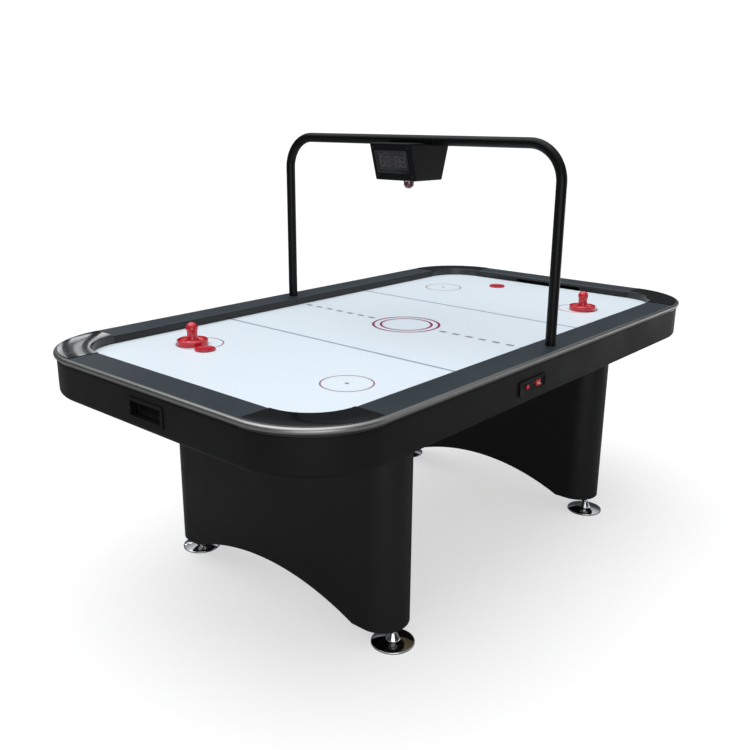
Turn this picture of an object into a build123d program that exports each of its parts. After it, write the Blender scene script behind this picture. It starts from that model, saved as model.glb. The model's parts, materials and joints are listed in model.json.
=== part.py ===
from build123d import *
import math
import os

# Air hockey table, millimetres. +X runs along the table, +Y across it, +Z up.
# The origin is on the floor, under the middle of the table.

# ---------------------------------------------------------------- driving dimensions

# table top
TABLE_LENGTH = 2134.0
TABLE_WIDTH = 1219.0
CORNER_RADIUS = 245.0
RAIL_TOP = 792.0
RAIL_HEIGHT = 25.0
RAIL_WIDTH = 105.0
RAIL_EDGE_ROUND = 4.0
CAP_RISE = 1.5
CAP_EDGE_ROUND = 2.0
TRIM_HEIGHT = 18.0
TRIM_DEPTH = 10.0
TRIM_TONGUE = 8.0
TRIM_TONGUE_HEIGHT = 3.0
TONGUE_CLEARANCE = 0.2

# aprons
APRON_INSET = 8.0
APRON_THICKNESS = 22.0
APRON_BOTTOM = 664.0
APRON_EDGE_ROUND = 15.0

# playfield and plenum
PLAYFIELD_THICKNESS = 12.0
PLAYFIELD_LAP = 25.0
PLENUM_DEPTH = 36.0
PLENUM_FRAME_WIDTH = 20.0
PLENUM_FLOOR_THICKNESS = 12.0
RIB_WIDTH = 18.0
RIB_PLACES = (-640.0, -240.0, 240.0, 640.0)
RIB_END_GAP = 110.0
BEARER_THICKNESS = 30.0
BEARER_WIDTH = 160.0

# goals and puck returns
GOAL_WIDTH = 300.0
GOAL_HEIGHT = 14.0
GOAL_SIDE_ROOM = 5.0
GOAL_POCKET_WALL = 20.0
CHUTE_WALL = 2.5
CHUTE_GAP = 2.0
CHUTE_BOTTOM = 690.0
CHUTE_FALL = 12.0
RETURN_WIDTH = 128.0
RETURN_HEIGHT = 40.0
RETURN_CENTRE_Z = 720.0
RETURN_SLEEVE_WALL = 2.5
RETURN_FLANGE = 11.0
RETURN_FLANGE_THICKNESS = 3.0
SENSOR_SIZE = (16.0, 10.0, 12.0)
SENSOR_DROP = 16.0

# pedestal legs
LEG_CENTRE_X = 583.0
LEG_THICKNESS = 160.0
LEG_SIDE_GAP = 103.5
LEG_BOTTOM = 62.0
LEG_PANEL_THICKNESS = 18.0
LEG_END_WALL = 12.0
LEG_TOP_PLATE_THICKNESS = 18.0
LEG_ARCH_LAND = 46.0
LEG_ARCH_RISE = 74.0
FOOT_BLOCK_HEIGHT = 50.0
FOOT_BLOCK_INSET = 6.0
SEAT_CLEARANCE = 0.3

# leg bolts
BOLT_RADIUS = 4.0
BOLT_CLEARANCE = 0.2
BOLT_HEAD_RADIUS = 7.5
BOLT_HEAD_HEIGHT = 5.5
BOLT_BITE = 20.0
BOLT_X = 38.0
BOLT_Y = 280.0

# levellers
FOOT_INSET = 39.0
FOOT_RADIUS = 63.5
FOOT_RIM = 6.0
FOOT_DOME = 13.0
FOOT_HUB_TOP = 34.0
FOOT_HUB_RADIUS = 22.0
FOOT_NECK_RADIUS = 12.0
STEM_RADIUS = 8.0
STEM_CLEARANCE = 0.05
STEM_REACH = 46.0
INSERT_RADIUS = 11.0
INSERT_FLANGE_RADIUS = 19.0
INSERT_FLANGE = 2.0

# blower
DUCT_RADIUS = 88.0
DUCT_WALL = 3.0
DUCT_LENGTH = 85.0
DUCT_FLANGE_SIZE = 224.0
DUCT_FLANGE_THICKNESS = 4.0
BLADE_GAP = 3.0
BLADE_COUNT = 7
BLADE_PITCH = 32.0
BLADE_THICKNESS = 2.5
HUB_RADIUS = 34.0
HUB_HEIGHT = 30.0
HUB_TOP_GAP = 14.0
MOTOR_RADIUS = 32.0
MOTOR_HEIGHT = 38.0
MOTOR_EDGE_ROUND = 4.0
SHAFT_RADIUS = 4.0
GUARD_THICKNESS = 5.0
GUARD_WIRE = 3.0
GUARD_RINGS = (50.0, 66.0)
GUARD_SPOKES = 4

# overhead arch
ARCH_BAR_Z = 1379.5
TUBE_RADIUS = 16.0
TUBE_WALL = 1.5
ARCH_BEND = 110.0
SOCKET_DEPTH = 80.0
SOCKET_WALL = 3.3
SOCKET_FLOOR = 4.0
SOCKET_FLANGE = 70.0
SOCKET_FLANGE_THICKNESS = 4.0
SOCKET_STANDOFF = 2.0
TUBE_CLEARANCE = 0.2
SLEEVE_LENGTH = 200.0
SLEEVE_CLEARANCE = 0.1

# scorer
SCORER_TOP_LENGTH = 212.0
SCORER_BOTTOM_LENGTH = 142.0
SCORER_WIDTH = 166.0
SCORER_BOTTOM = 1254.0
SCORER_WRAP = 8.0
SCORER_ROOF = 12.0
SCORER_WALL = 4.0
SCORER_EDGE_ROUND = 6.0
LENS_WIDTH = 120.0
LENS_HEIGHT = 62.0
LENS_THICKNESS = 2.0
LENS_CLEARANCE = 0.2
LENS_REBATE = 5.0
DIGIT_BOARD = 1.6
DIGIT_BLOCK = 1.2
DIGIT_BLOCK_MARGIN = 6.0
LAMP_RADIUS = 17.0
LAMP_COLLAR_RADIUS = 19.5
LAMP_COLLAR_HEIGHT = 4.0
LAMP_BODY_HEIGHT = 8.0
LAMP_NECK_RADIUS = 8.8
LAMP_NECK_HEIGHT = 10.0

# control panel
PANEL_X = -170.0
PANEL_Z = 716.0
PANEL_WIDTH = 146.0
PANEL_HEIGHT = 44.0
PANEL_PROUD = 5.0
PANEL_RECESS = 3.0
PANEL_RIM = 7.0
PANEL_BOX_DEPTH = 26.0
PANEL_WALL = 2.0
PANEL_CLEARANCE = 0.3
SWITCH_X = 30.0
SWITCH_WIDTH = 24.0
SWITCH_HALF_HEIGHT = 9.5
SWITCH_SIDE_GAP = 0.5
SWITCH_SWING_GAP = 1.5
SWITCH_THROW = 7.0
SWITCH_FRONT = 10.0
SWITCH_BACK = 4.0
SWITCH_PIVOT_DEPTH = 5.5
SWITCH_PIN_RADIUS = 1.5
CHEEK_THICKNESS = 2.0
BUTTON_X = -30.0
BUTTON_RADIUS = 7.0
BUTTON_PROUD = 3.5
BUTTON_EDGE_ROUND = 1.2
BUTTON_FLANGE = 2.0
BUTTON_FLANGE_THICKNESS = 1.5
BUTTON_STEM = 12.0
BUTTON_TRAVEL = 2.5
BOARD_THICKNESS = 1.6
TACT_SIZE = 6.0
JACK_X = -170.0
JACK_Z = 700.0
JACK_RADIUS = 5.5
JACK_FLANGE_RADIUS = 9.0
JACK_FLANGE_THICKNESS = 2.0
JACK_LENGTH = 32.0
JACK_HOLE_RADIUS = 2.8
JACK_HOLE_DEPTH = 9.0
JACK_PIN_RADIUS = 1.05

# strikers and pucks
STRIKER_RADIUS = 48.0
STRIKER_HEIGHT = 70.0
STRIKER_RIM = 17.0
STRIKER_KNOB_RADIUS = 18.5
STRIKER_NECK_RADIUS = 15.5
STRIKER_EDGE_ROUND = 3.0
STRIKER_HOLLOW_RADIUS = 38.4
STRIKER_FLOOR = 4.0
STRIKER_PLACES = {"left_striker": (-662.0, 320.0), "right_striker": (635.0, -335.0)}
PUCK_RADIUS = 31.75
PUCK_THICKNESS = 6.0
PUCK_EDGE_ROUND = 1.5
PUCK_PLACES = {"left_puck": (-680.0, 236.0), "right_puck": (807.0, 153.0)}
FLOAT_GAP = 0.3

# ---------------------------------------------------------------- derived levels and seats

HALF_LENGTH = TABLE_LENGTH / 2
HALF_WIDTH = TABLE_WIDTH / 2
SEAM_X = HALF_LENGTH - CORNER_RADIUS
SEAM_Y = HALF_WIDTH - CORNER_RADIUS
PLAYFIELD_TOP = RAIL_TOP - RAIL_HEIGHT
PLENUM_TOP = PLAYFIELD_TOP - PLAYFIELD_THICKNESS
PLENUM_FLOOR_TOP = PLENUM_TOP - PLENUM_DEPTH
PLENUM_BOTTOM = PLENUM_FLOOR_TOP - PLENUM_FLOOR_THICKNESS
BEARER_BOTTOM = PLENUM_BOTTOM - BEARER_THICKNESS
PLAYFIELD_INSET = RAIL_WIDTH - PLAYFIELD_LAP
APRON_FACE_X = HALF_LENGTH - APRON_INSET
APRON_FACE_Y = HALF_WIDTH - APRON_INSET
APRON_BACK_X = APRON_FACE_X - APRON_THICKNESS
APRON_BACK_Y = APRON_FACE_Y - APRON_THICKNESS
RAIL_INNER_X = HALF_LENGTH - RAIL_WIDTH
CHUTE_INNER_X = RAIL_INNER_X + CHUTE_GAP
CHUTE_HALF_WIDTH = GOAL_WIDTH / 2 + GOAL_SIDE_ROOM
LEG_TOP = BEARER_BOTTOM
LEG_WIDTH = 2 * (APRON_BACK_Y - LEG_SIDE_GAP)
LEG_END_RADIUS = LEG_THICKNESS / 2
LEG_FLAT_Y = LEG_WIDTH / 2 - LEG_END_RADIUS
LEG_ARCH_HALF_WIDTH = LEG_FLAT_Y - LEG_ARCH_LAND
LEG_INSIDE_X = LEG_THICKNESS / 2 - LEG_PANEL_THICKNESS
FOOT_Y = LEG_WIDTH / 2 - FOOT_INSET
INSERT_TOP = LEG_BOTTOM + FOOT_BLOCK_HEIGHT
CUP_RADIUS = TUBE_RADIUS + TUBE_CLEARANCE + SOCKET_WALL
ARCH_POST_Y = APRON_BACK_Y - SOCKET_STANDOFF - CUP_RADIUS
POST_FOOT = PLAYFIELD_TOP - SOCKET_DEPTH
SCORER_TOP = ARCH_BAR_Z - TUBE_RADIUS + SCORER_WRAP

LOW = Align.MIN
MID = Align.CENTER


def block(x, y, z):
    """Box from three (low, high) spans."""
    size = [high - low for low, high in (x, y, z)]
    return Pos(x[0], y[0], z[0]) * Box(*size, align=(LOW, LOW, LOW))


def rod(radius, low, high, x=0.0, y=0.0):
    """Upright cylinder between two levels."""
    return Pos(x, y, low) * Cylinder(radius, high - low, align=(MID, MID, LOW))


def span(centre, half):
    """The (low, high) span about a centre."""
    return (centre - half, centre + half)


def side_span(side, near, far):
    """A span between two distances from the middle, on the side given by +1 or -1."""
    return tuple(sorted((side * near, side * far)))


def slab(inset, low, high):
    """Slab with the table's rounded outline, moved in by an inset."""
    outline = RectangleRounded(
        TABLE_LENGTH - 2 * inset, TABLE_WIDTH - 2 * inset, CORNER_RADIUS - inset
    )
    return Pos(0, 0, low) * extrude(outline, high - low)


def ring(outer_inset, inner_inset, low, high):
    """Band that runs all round the table between two insets."""
    return slab(outer_inset, low, high) - slab(inner_inset, low - 1, high + 1)


def outline_edges(shape, inset, level):
    """Edges at a level that lie on the table's outline moved in by an inset."""

    def on_outline(edge):
        point = edge @ 0.5
        along, across = abs(point.X) - SEAM_X, abs(point.Y) - SEAM_Y
        beside_corner = along > 0 and across > 0
        reach = math.hypot(along, across) if beside_corner else max(along, across)
        return abs(point.Z - level) < 0.001 and abs(reach - CORNER_RADIUS + inset) < 0.001

    return ShapeList([edge for edge in shape.edges() if on_outline(edge)])


def side_piece(band, side):
    """The straight stretch of a band along the near (-1) or far (+1) side."""
    return band & block(span(0, SEAM_X), side_span(side, 0, TABLE_WIDTH), (0, 2 * RAIL_TOP))


def end_piece(band, end):
    """The straight stretch of a band across the left (-1) or right (+1) end."""
    return band & block(side_span(end, 0, TABLE_LENGTH), span(0, SEAM_Y), (0, 2 * RAIL_TOP))


def corner_piece(band, end, side):
    """The rounded stretch of a band at one corner."""
    zone = block(
        side_span(end, SEAM_X, TABLE_LENGTH), side_span(side, SEAM_Y, TABLE_WIDTH), (0, 2 * RAIL_TOP)
    )
    return band & zone


def goal_notch(inner_x, half_width, low, high):
    """Blocks that cut both goal ends out of a board."""
    left, right = [
        block(side_span(end, inner_x, HALF_LENGTH), span(0, half_width), (low, high))
        for end in (-1, 1)
    ]
    return left + right


# ---------------------------------------------------------------- table top


def playfield_outline(inset, notch_grow, low, high):
    """Board outline under the rails, notched where the goal boxes drop through."""
    notch_x = CHUTE_INNER_X - SEAT_CLEARANCE - notch_grow
    notch_half = CHUTE_HALF_WIDTH + SEAT_CLEARANCE + notch_grow
    return slab(inset, low, high) - goal_notch(notch_x, notch_half, low - 1, high + 1)


def make_playfield():
    return playfield_outline(PLAYFIELD_INSET, 0, PLENUM_TOP, PLAYFIELD_TOP)


def make_plenum_frame():
    """Closed frame of strips, and cross ribs that stop short so that air can pass."""
    low, high = PLENUM_FLOOR_TOP, PLENUM_TOP
    outer = playfield_outline(PLAYFIELD_INSET, 0, low, high)
    inner = playfield_outline(
        PLAYFIELD_INSET + PLENUM_FRAME_WIDTH, PLENUM_FRAME_WIDTH, low - 1, high + 1
    )
    rib_half = HALF_WIDTH - PLAYFIELD_INSET - PLENUM_FRAME_WIDTH - RIB_END_GAP
    ribs = [block(span(x, RIB_WIDTH / 2), span(0, rib_half), (low, high)) for x in RIB_PLACES]
    return Compound(children=[*(outer - inner).solids(), *ribs])


def make_plenum_floor():
    floor = playfield_outline(PLAYFIELD_INSET, 0, PLENUM_BOTTOM, PLENUM_FLOOR_TOP)
    return floor - rod(DUCT_RADIUS, PLENUM_BOTTOM - 1, PLENUM_FLOOR_TOP + 1)


def make_cross_bearers():
    bearers = []
    for end in (-1, 1):
        bearer = block(
            span(end * LEG_CENTRE_X, BEARER_WIDTH / 2),
            span(0, APRON_BACK_Y),
            (BEARER_BOTTOM, PLENUM_BOTTOM),
        )
        bite_top = BEARER_BOTTOM + BOLT_BITE + 1
        for x, y in bolt_places(end):
            bearer -= rod(BOLT_RADIUS + BOLT_CLEARANCE, BEARER_BOTTOM - 1, bite_top, x, y)
        bearers.append(bearer)
    return Compound(children=bearers)


def make_aprons():
    """Skirt round the table, rounded along its lower outer edge, in eight pieces."""
    band = ring(APRON_INSET, APRON_INSET + APRON_THICKNESS, APRON_BOTTOM, PLAYFIELD_TOP)
    band = fillet(outline_edges(band, APRON_INSET, APRON_BOTTOM), APRON_EDGE_ROUND)
    near = side_piece(band, -1) - panel_box(PANEL_CLEARANCE)
    far = side_piece(band, 1) - jack_body(JACK_RADIUS + BOLT_CLEARANCE)
    left, right = [end_piece(band, end) - return_sleeve(end, SEAT_CLEARANCE) for end in (-1, 1)]
    corners = [corner_piece(band, end, side) for end in (-1, 1) for side in (-1, 1)]
    return {
        "near_apron": near,
        "far_apron": far,
        "left_apron": left,
        "right_apron": right,
        "apron_corners": Compound(children=corners),
    }


def trim_tongue(grow):
    """The tongue of the trim, grown by a clearance to cut its groove."""
    middle = RAIL_TOP - TRIM_HEIGHT / 2
    half = TRIM_TONGUE_HEIGHT / 2 + grow
    return ring(TRIM_DEPTH - 1, TRIM_DEPTH + TRIM_TONGUE + grow, middle - half, middle + half)


def make_rails():
    """Top boards: four straight rails, and four taller caps at the corners."""
    groove = trim_tongue(TONGUE_CLEARANCE)
    band = ring(TRIM_DEPTH, RAIL_WIDTH, PLAYFIELD_TOP, RAIL_TOP)
    band = fillet(outline_edges(band, RAIL_WIDTH, RAIL_TOP), RAIL_EDGE_ROUND) - groove
    cap_top = RAIL_TOP + CAP_RISE
    cap_band = ring(TRIM_DEPTH, RAIL_WIDTH, PLAYFIELD_TOP, cap_top)
    cap_edges = outline_edges(cap_band, RAIL_WIDTH, cap_top) + outline_edges(cap_band, TRIM_DEPTH, cap_top)
    cap_band = fillet(cap_edges, CAP_EDGE_ROUND) - groove
    parts = {}
    for name, side in (("near", -1), ("far", 1)):
        post_hole = rod(TUBE_RADIUS + TUBE_CLEARANCE, 0, 2 * RAIL_TOP, 0, side * ARCH_POST_Y)
        parts[f"{name}_rail"] = side_piece(band, side) - post_hole
    for name, end in (("left", -1), ("right", 1)):
        pocket = block(
            side_span(end, RAIL_INNER_X - 1, HALF_LENGTH - TRIM_DEPTH - GOAL_POCKET_WALL),
            span(0, GOAL_WIDTH / 2),
            (PLAYFIELD_TOP - 1, PLAYFIELD_TOP + GOAL_HEIGHT),
        )
        parts[f"{name}_rail"] = end_piece(band, end) - pocket
        for side_name, side in (("near", -1), ("far", 1)):
            parts[f"{name}_{side_name}_corner_cap"] = corner_piece(cap_band, end, side)
    return parts


def make_edge_trim():
    """Bullnose strip round the rails, held by a tongue in their groove."""
    low = RAIL_TOP - TRIM_HEIGHT
    strip = ring(0, TRIM_DEPTH, low, RAIL_TOP)
    edges = outline_edges(strip, 0, low) + outline_edges(strip, 0, RAIL_TOP)
    return fillet(edges, TRIM_HEIGHT / 2 - 0.5) + trim_tongue(0)


# ---------------------------------------------------------------- goals and returns


def make_goal_box(end):
    """Open-topped chute: the puck drops in under the rail and slides out at the return."""
    outer_x = APRON_BACK_X - SEAT_CLEARANCE
    top = PLAYFIELD_TOP - SEAT_CLEARANCE
    outlet = (RETURN_CENTRE_Z - RETURN_HEIGHT / 2, RETURN_CENTRE_Z + RETURN_HEIGHT / 2)
    box = block((CHUTE_INNER_X, outer_x), span(0, CHUTE_HALF_WIDTH), (CHUTE_BOTTOM, top))
    inner_low, inner_high = CHUTE_INNER_X + CHUTE_WALL, outer_x - CHUTE_WALL
    section = Plane.XZ * Polygon(
        (inner_low, outlet[0] + CHUTE_FALL),
        (inner_high, outlet[0]),
        (inner_high, top + 1),
        (inner_low, top + 1),
        align=None,
    )
    box -= extrude(section, CHUTE_HALF_WIDTH - CHUTE_WALL, both=True)
    box -= block((inner_high - 1, outer_x + 1), span(0, RETURN_WIDTH / 2), outlet)
    return box if end > 0 else Rot(0, 0, 180) * box


def return_sleeve(end, grow):
    """Outside of the return frame's sleeve, grown by a clearance to cut the apron."""
    wall = RETURN_SLEEVE_WALL + grow
    return block(
        side_span(end, APRON_BACK_X, APRON_FACE_X),
        span(0, RETURN_WIDTH / 2 + wall),
        span(RETURN_CENTRE_Z, RETURN_HEIGHT / 2 + wall),
    )


def make_return_frame(end):
    """Bezel round the puck return: a sleeve through the apron and a flange outside."""
    flange = block(
        side_span(end, APRON_FACE_X, APRON_FACE_X + RETURN_FLANGE_THICKNESS),
        span(0, RETURN_WIDTH / 2 + RETURN_FLANGE),
        span(RETURN_CENTRE_Z, RETURN_HEIGHT / 2 + RETURN_FLANGE),
    )
    flange = fillet(flange.edges().filter_by(Axis.X), RETURN_FLANGE * 0.7)
    opening = block(
        side_span(end, 0, HALF_LENGTH),
        span(0, RETURN_WIDTH / 2),
        span(RETURN_CENTRE_Z, RETURN_HEIGHT / 2),
    )
    return flange + return_sleeve(end, 0) - opening


def make_goal_sensors():
    """Emitter and receiver outside the side walls of each goal box."""
    x_mid = (CHUTE_INNER_X + APRON_BACK_X) / 2
    z_top = PLAYFIELD_TOP - SENSOR_DROP
    sensors = []
    for end in (-1, 1):
        for side in (-1, 1):
            sensors.append(
                block(
                    span(end * x_mid, SENSOR_SIZE[0] / 2),
                    side_span(side, CHUTE_HALF_WIDTH, CHUTE_HALF_WIDTH + SENSOR_SIZE[1]),
                    (z_top - SENSOR_SIZE[2], z_top),
                )
            )
    return Compound(children=sensors)


# ---------------------------------------------------------------- pedestal legs


def leg_panel(end, face):
    """Flat panel of a leg with the arched foot line; face is +1 outside, -1 inside."""
    radius = (LEG_ARCH_HALF_WIDTH**2 + LEG_ARCH_RISE**2) / (2 * LEG_ARCH_RISE)
    arch_centre_z = LEG_BOTTOM + LEG_ARCH_RISE - radius
    outward = end * face
    near = end * LEG_CENTRE_X + outward * LEG_INSIDE_X
    far = end * LEG_CENTRE_X + outward * LEG_THICKNESS / 2
    panel = block(tuple(sorted((near, far))), span(0, LEG_FLAT_Y), (LEG_BOTTOM, LEG_TOP))
    arch = Pos(end * LEG_CENTRE_X, 0, arch_centre_z) * Rot(0, 90, 0) * Cylinder(radius, 2 * LEG_THICKNESS)
    return panel - arch


def make_leg_ends(end):
    """Half-round shells that close both ends of a leg."""
    x = end * LEG_CENTRE_X
    shells = []
    for side in (-1, 1):
        y = side * LEG_FLAT_Y
        shell = rod(LEG_END_RADIUS, LEG_BOTTOM, LEG_TOP, x, y)
        shell -= rod(LEG_END_RADIUS - LEG_END_WALL, 0, 2 * LEG_TOP, x, y)
        keep = block(span(x, LEG_THICKNESS), side_span(side, LEG_FLAT_Y, LEG_WIDTH), (0, LEG_TOP))
        shells.append(shell & keep)
    return Compound(children=shells)


def bolt_places(end):
    """Centres of the four bolts of one leg."""
    return [(end * LEG_CENTRE_X + x, y) for x in (-BOLT_X, BOLT_X) for y in (-BOLT_Y, BOLT_Y)]


def make_leg_top_plate(end):
    plate = block(
        span(end * LEG_CENTRE_X, LEG_INSIDE_X),
        span(0, LEG_FLAT_Y),
        (LEG_TOP - LEG_TOP_PLATE_THICKNESS, LEG_TOP),
    )
    for x, y in bolt_places(end):
        plate -= rod(BOLT_RADIUS + BOLT_CLEARANCE, 0, 2 * LEG_TOP, x, y)
    return plate


def make_leg_bolts():
    """Hex bolts up through each leg's top plate into its bearer."""
    under = LEG_TOP - LEG_TOP_PLATE_THICKNESS
    bolts = []
    for end in (-1, 1):
        for x, y in bolt_places(end):
            head = Pos(x, y, under - BOLT_HEAD_HEIGHT) * extrude(
                RegularPolygon(BOLT_HEAD_RADIUS, 6), BOLT_HEAD_HEIGHT
            )
            bolts.append(head + rod(BOLT_RADIUS, under, BEARER_BOTTOM + BOLT_BITE, x, y))
    return Compound(children=bolts)


def make_foot_blocks(end):
    """Blocks in the ends of a leg that take the leveller inserts."""
    x = end * LEG_CENTRE_X
    blocks = []
    for side in (-1, 1):
        flat = block(
            span(x, LEG_INSIDE_X),
            side_span(side, LEG_ARCH_HALF_WIDTH + FOOT_BLOCK_INSET, LEG_FLAT_Y),
            (LEG_BOTTOM, INSERT_TOP),
        )
        nose_radius = LEG_END_RADIUS - LEG_END_WALL - SEAT_CLEARANCE
        nose = rod(nose_radius, LEG_BOTTOM, INSERT_TOP, x, side * LEG_FLAT_Y)
        nose &= block(span(x, LEG_THICKNESS), side_span(side, LEG_FLAT_Y, LEG_WIDTH), (0, LEG_TOP))
        bore = rod(INSERT_RADIUS + STEM_CLEARANCE, 0, LEG_TOP, end * LEG_CENTRE_X, side * FOOT_Y)
        blocks.append(flat + nose - bore)
    return Compound(children=blocks)


# ---------------------------------------------------------------- levellers


def make_leveller_inserts():
    """Flanged steel inserts, the flange under the foot block."""
    inserts = []
    for end in (-1, 1):
        for side in (-1, 1):
            x, y = end * LEG_CENTRE_X, side * FOOT_Y
            insert = rod(INSERT_RADIUS, LEG_BOTTOM, INSERT_TOP, x, y)
            insert += rod(INSERT_FLANGE_RADIUS, LEG_BOTTOM - INSERT_FLANGE, LEG_BOTTOM, x, y)
            inserts.append(insert - rod(STEM_RADIUS + STEM_CLEARANCE, 0, LEG_TOP, x, y))
    return Compound(children=inserts)


def make_leveller(end, side):
    """Wide domed disc, conical hub and screwed stem, turned in one piece."""
    stem_top = LEG_BOTTOM + STEM_REACH
    outline = Polyline(
        (0, stem_top),
        (STEM_RADIUS - 1, stem_top),
        (STEM_RADIUS, stem_top - 1),
        (STEM_RADIUS, FOOT_HUB_TOP),
        (FOOT_NECK_RADIUS, FOOT_HUB_TOP),
        (FOOT_HUB_RADIUS, FOOT_DOME),
    )
    dome = ThreePointArc(
        (FOOT_HUB_RADIUS, FOOT_DOME),
        ((FOOT_HUB_RADIUS + FOOT_RADIUS) / 2, (FOOT_DOME + FOOT_RIM) / 2 + 1.2),
        (FOOT_RADIUS, FOOT_RIM),
    )
    base = Polyline((FOOT_RADIUS, FOOT_RIM), (FOOT_RADIUS, 0), (0, 0), (0, stem_top))
    section = Plane.XZ * make_face(outline + dome + base)
    return Pos(end * LEG_CENTRE_X, side * FOOT_Y, 0) * revolve(section, Axis.Z)


# ---------------------------------------------------------------- blower

DUCT_TOP = PLENUM_BOTTOM
DUCT_BOTTOM = DUCT_TOP - DUCT_LENGTH
HUB_TOP = DUCT_TOP - HUB_TOP_GAP
HUB_BOTTOM = HUB_TOP - HUB_HEIGHT
MOTOR_TOP = DUCT_BOTTOM + MOTOR_HEIGHT


def make_blower_housing():
    """Round duct with a square flange against the plenum floor."""
    flange = block(
        span(0, DUCT_FLANGE_SIZE / 2),
        span(0, DUCT_FLANGE_SIZE / 2),
        (DUCT_TOP - DUCT_FLANGE_THICKNESS, DUCT_TOP),
    )
    flange = fillet(flange.edges().filter_by(Axis.Z), DUCT_FLANGE_SIZE / 16)
    duct = rod(DUCT_RADIUS + DUCT_WALL, DUCT_BOTTOM, DUCT_TOP)
    return flange + duct - rod(DUCT_RADIUS, 0, DUCT_TOP + 1)


def make_blower_grille():
    """Guard under the duct; its middle plate carries the motor."""
    low, high = DUCT_BOTTOM - GUARD_THICKNESS, DUCT_BOTTOM
    guard = rod(DUCT_RADIUS + DUCT_WALL, low, high) - rod(DUCT_RADIUS - DUCT_WALL, 0, high + 1)
    for radius in GUARD_RINGS:
        guard += rod(radius + GUARD_WIRE / 2, low, high) - rod(radius - GUARD_WIRE / 2, 0, high + 1)
    guard += rod(MOTOR_RADIUS, low, high)
    for turn in range(GUARD_SPOKES):
        spoke = block((0, DUCT_RADIUS), span(0, GUARD_WIRE), (low, high))
        guard += Rot(0, 0, 360 / GUARD_SPOKES * turn + 45) * spoke
    return guard


def make_blower_motor():
    motor = rod(MOTOR_RADIUS, DUCT_BOTTOM, MOTOR_TOP)
    motor = fillet(motor.edges().group_by(Axis.Z)[-1], MOTOR_EDGE_ROUND)
    return motor - rod(SHAFT_RADIUS + STEM_CLEARANCE, DUCT_BOTTOM + GUARD_WIRE, MOTOR_TOP + 1)


def make_blower_impeller():
    """Hub cup with pitched blades, and the shaft that turns in the motor."""
    impeller = rod(HUB_RADIUS, HUB_BOTTOM, HUB_TOP)
    impeller -= rod(HUB_RADIUS - DUCT_WALL, HUB_BOTTOM - 1, HUB_TOP - DUCT_WALL)
    blade_reach = DUCT_RADIUS - BLADE_GAP
    for turn in range(BLADE_COUNT):
        blade = Pos(0, 0, (HUB_BOTTOM + HUB_TOP) / 2) * Rot(BLADE_PITCH, 0, 0) * block(
            (HUB_RADIUS - DUCT_WALL / 2, blade_reach),
            span(0, BLADE_THICKNESS / 2),
            span(0, HUB_HEIGHT / 2),
        )
        blade &= rod(blade_reach, HUB_BOTTOM, HUB_TOP)
        impeller += Rot(0, 0, 360 / BLADE_COUNT * turn) * blade
    return impeller + rod(SHAFT_RADIUS, DUCT_BOTTOM + 2 * GUARD_WIRE, HUB_TOP - 1)


# ---------------------------------------------------------------- overhead arch


def make_arch_tube(side):
    """Post and half of the crossbar, one tube with one bend."""
    path = FilletPolyline(
        (0, side * ARCH_POST_Y, POST_FOOT),
        (0, side * ARCH_POST_Y, ARCH_BAR_Z),
        (0, 0, ARCH_BAR_Z),
        radius=ARCH_BEND,
    )
    section = Plane(origin=path @ 0, z_dir=path % 0) * (Circle(TUBE_RADIUS) - Circle(TUBE_RADIUS - TUBE_WALL))
    return sweep(section, path=path)


def make_arch_sleeve():
    """Splice inside the crossbar where the two tubes meet."""
    outside = TUBE_RADIUS - TUBE_WALL - SLEEVE_CLEARANCE
    sleeve = Cylinder(outside, SLEEVE_LENGTH) - Cylinder(outside - TUBE_WALL, SLEEVE_LENGTH)
    return Pos(0, 0, ARCH_BAR_Z) * Rot(90, 0, 0) * sleeve


def make_arch_sockets():
    """Cups behind the side aprons that the posts stand in."""
    sockets = []
    inside = TUBE_RADIUS + TUBE_CLEARANCE
    top = PLAYFIELD_TOP - SOCKET_FLOOR
    for side in (-1, 1):
        y = side * ARCH_POST_Y
        cup = rod(CUP_RADIUS, POST_FOOT - SOCKET_FLOOR, top, 0, y)
        plate = block(
            span(0, SOCKET_FLANGE / 2),
            side_span(side, APRON_BACK_Y - SOCKET_FLANGE_THICKNESS, APRON_BACK_Y),
            (POST_FOOT, top),
        )
        web = block(span(0, SOCKET_WALL), side_span(side, ARCH_POST_Y, APRON_BACK_Y), (POST_FOOT, top))
        sockets.append(cup + plate + web - rod(inside, POST_FOOT, RAIL_TOP, 0, y))
    return Compound(children=sockets)


# ---------------------------------------------------------------- scorer

SCORER_HEIGHT = SCORER_TOP - SCORER_BOTTOM
SCORER_LEAN = math.atan2((SCORER_TOP_LENGTH - SCORER_BOTTOM_LENGTH) / 2, SCORER_HEIGHT)


def display_plane(end):
    """Plane on a sloped display face, X across the table and Z out of the face."""
    return Plane(
        origin=(end * (SCORER_TOP_LENGTH + SCORER_BOTTOM_LENGTH) / 4, 0, (SCORER_TOP + SCORER_BOTTOM) / 2),
        x_dir=(0, end, 0),
        z_dir=(end * math.cos(SCORER_LEAN), 0, -math.sin(SCORER_LEAN)),
    )


def display_slab(end, width, height, low, high):
    """Flat box on a display face, between two distances out of the face."""
    thickness = high - low
    return display_plane(end) * Pos(0, 0, low) * Box(width, height, thickness, align=(MID, MID, LOW))


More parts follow.
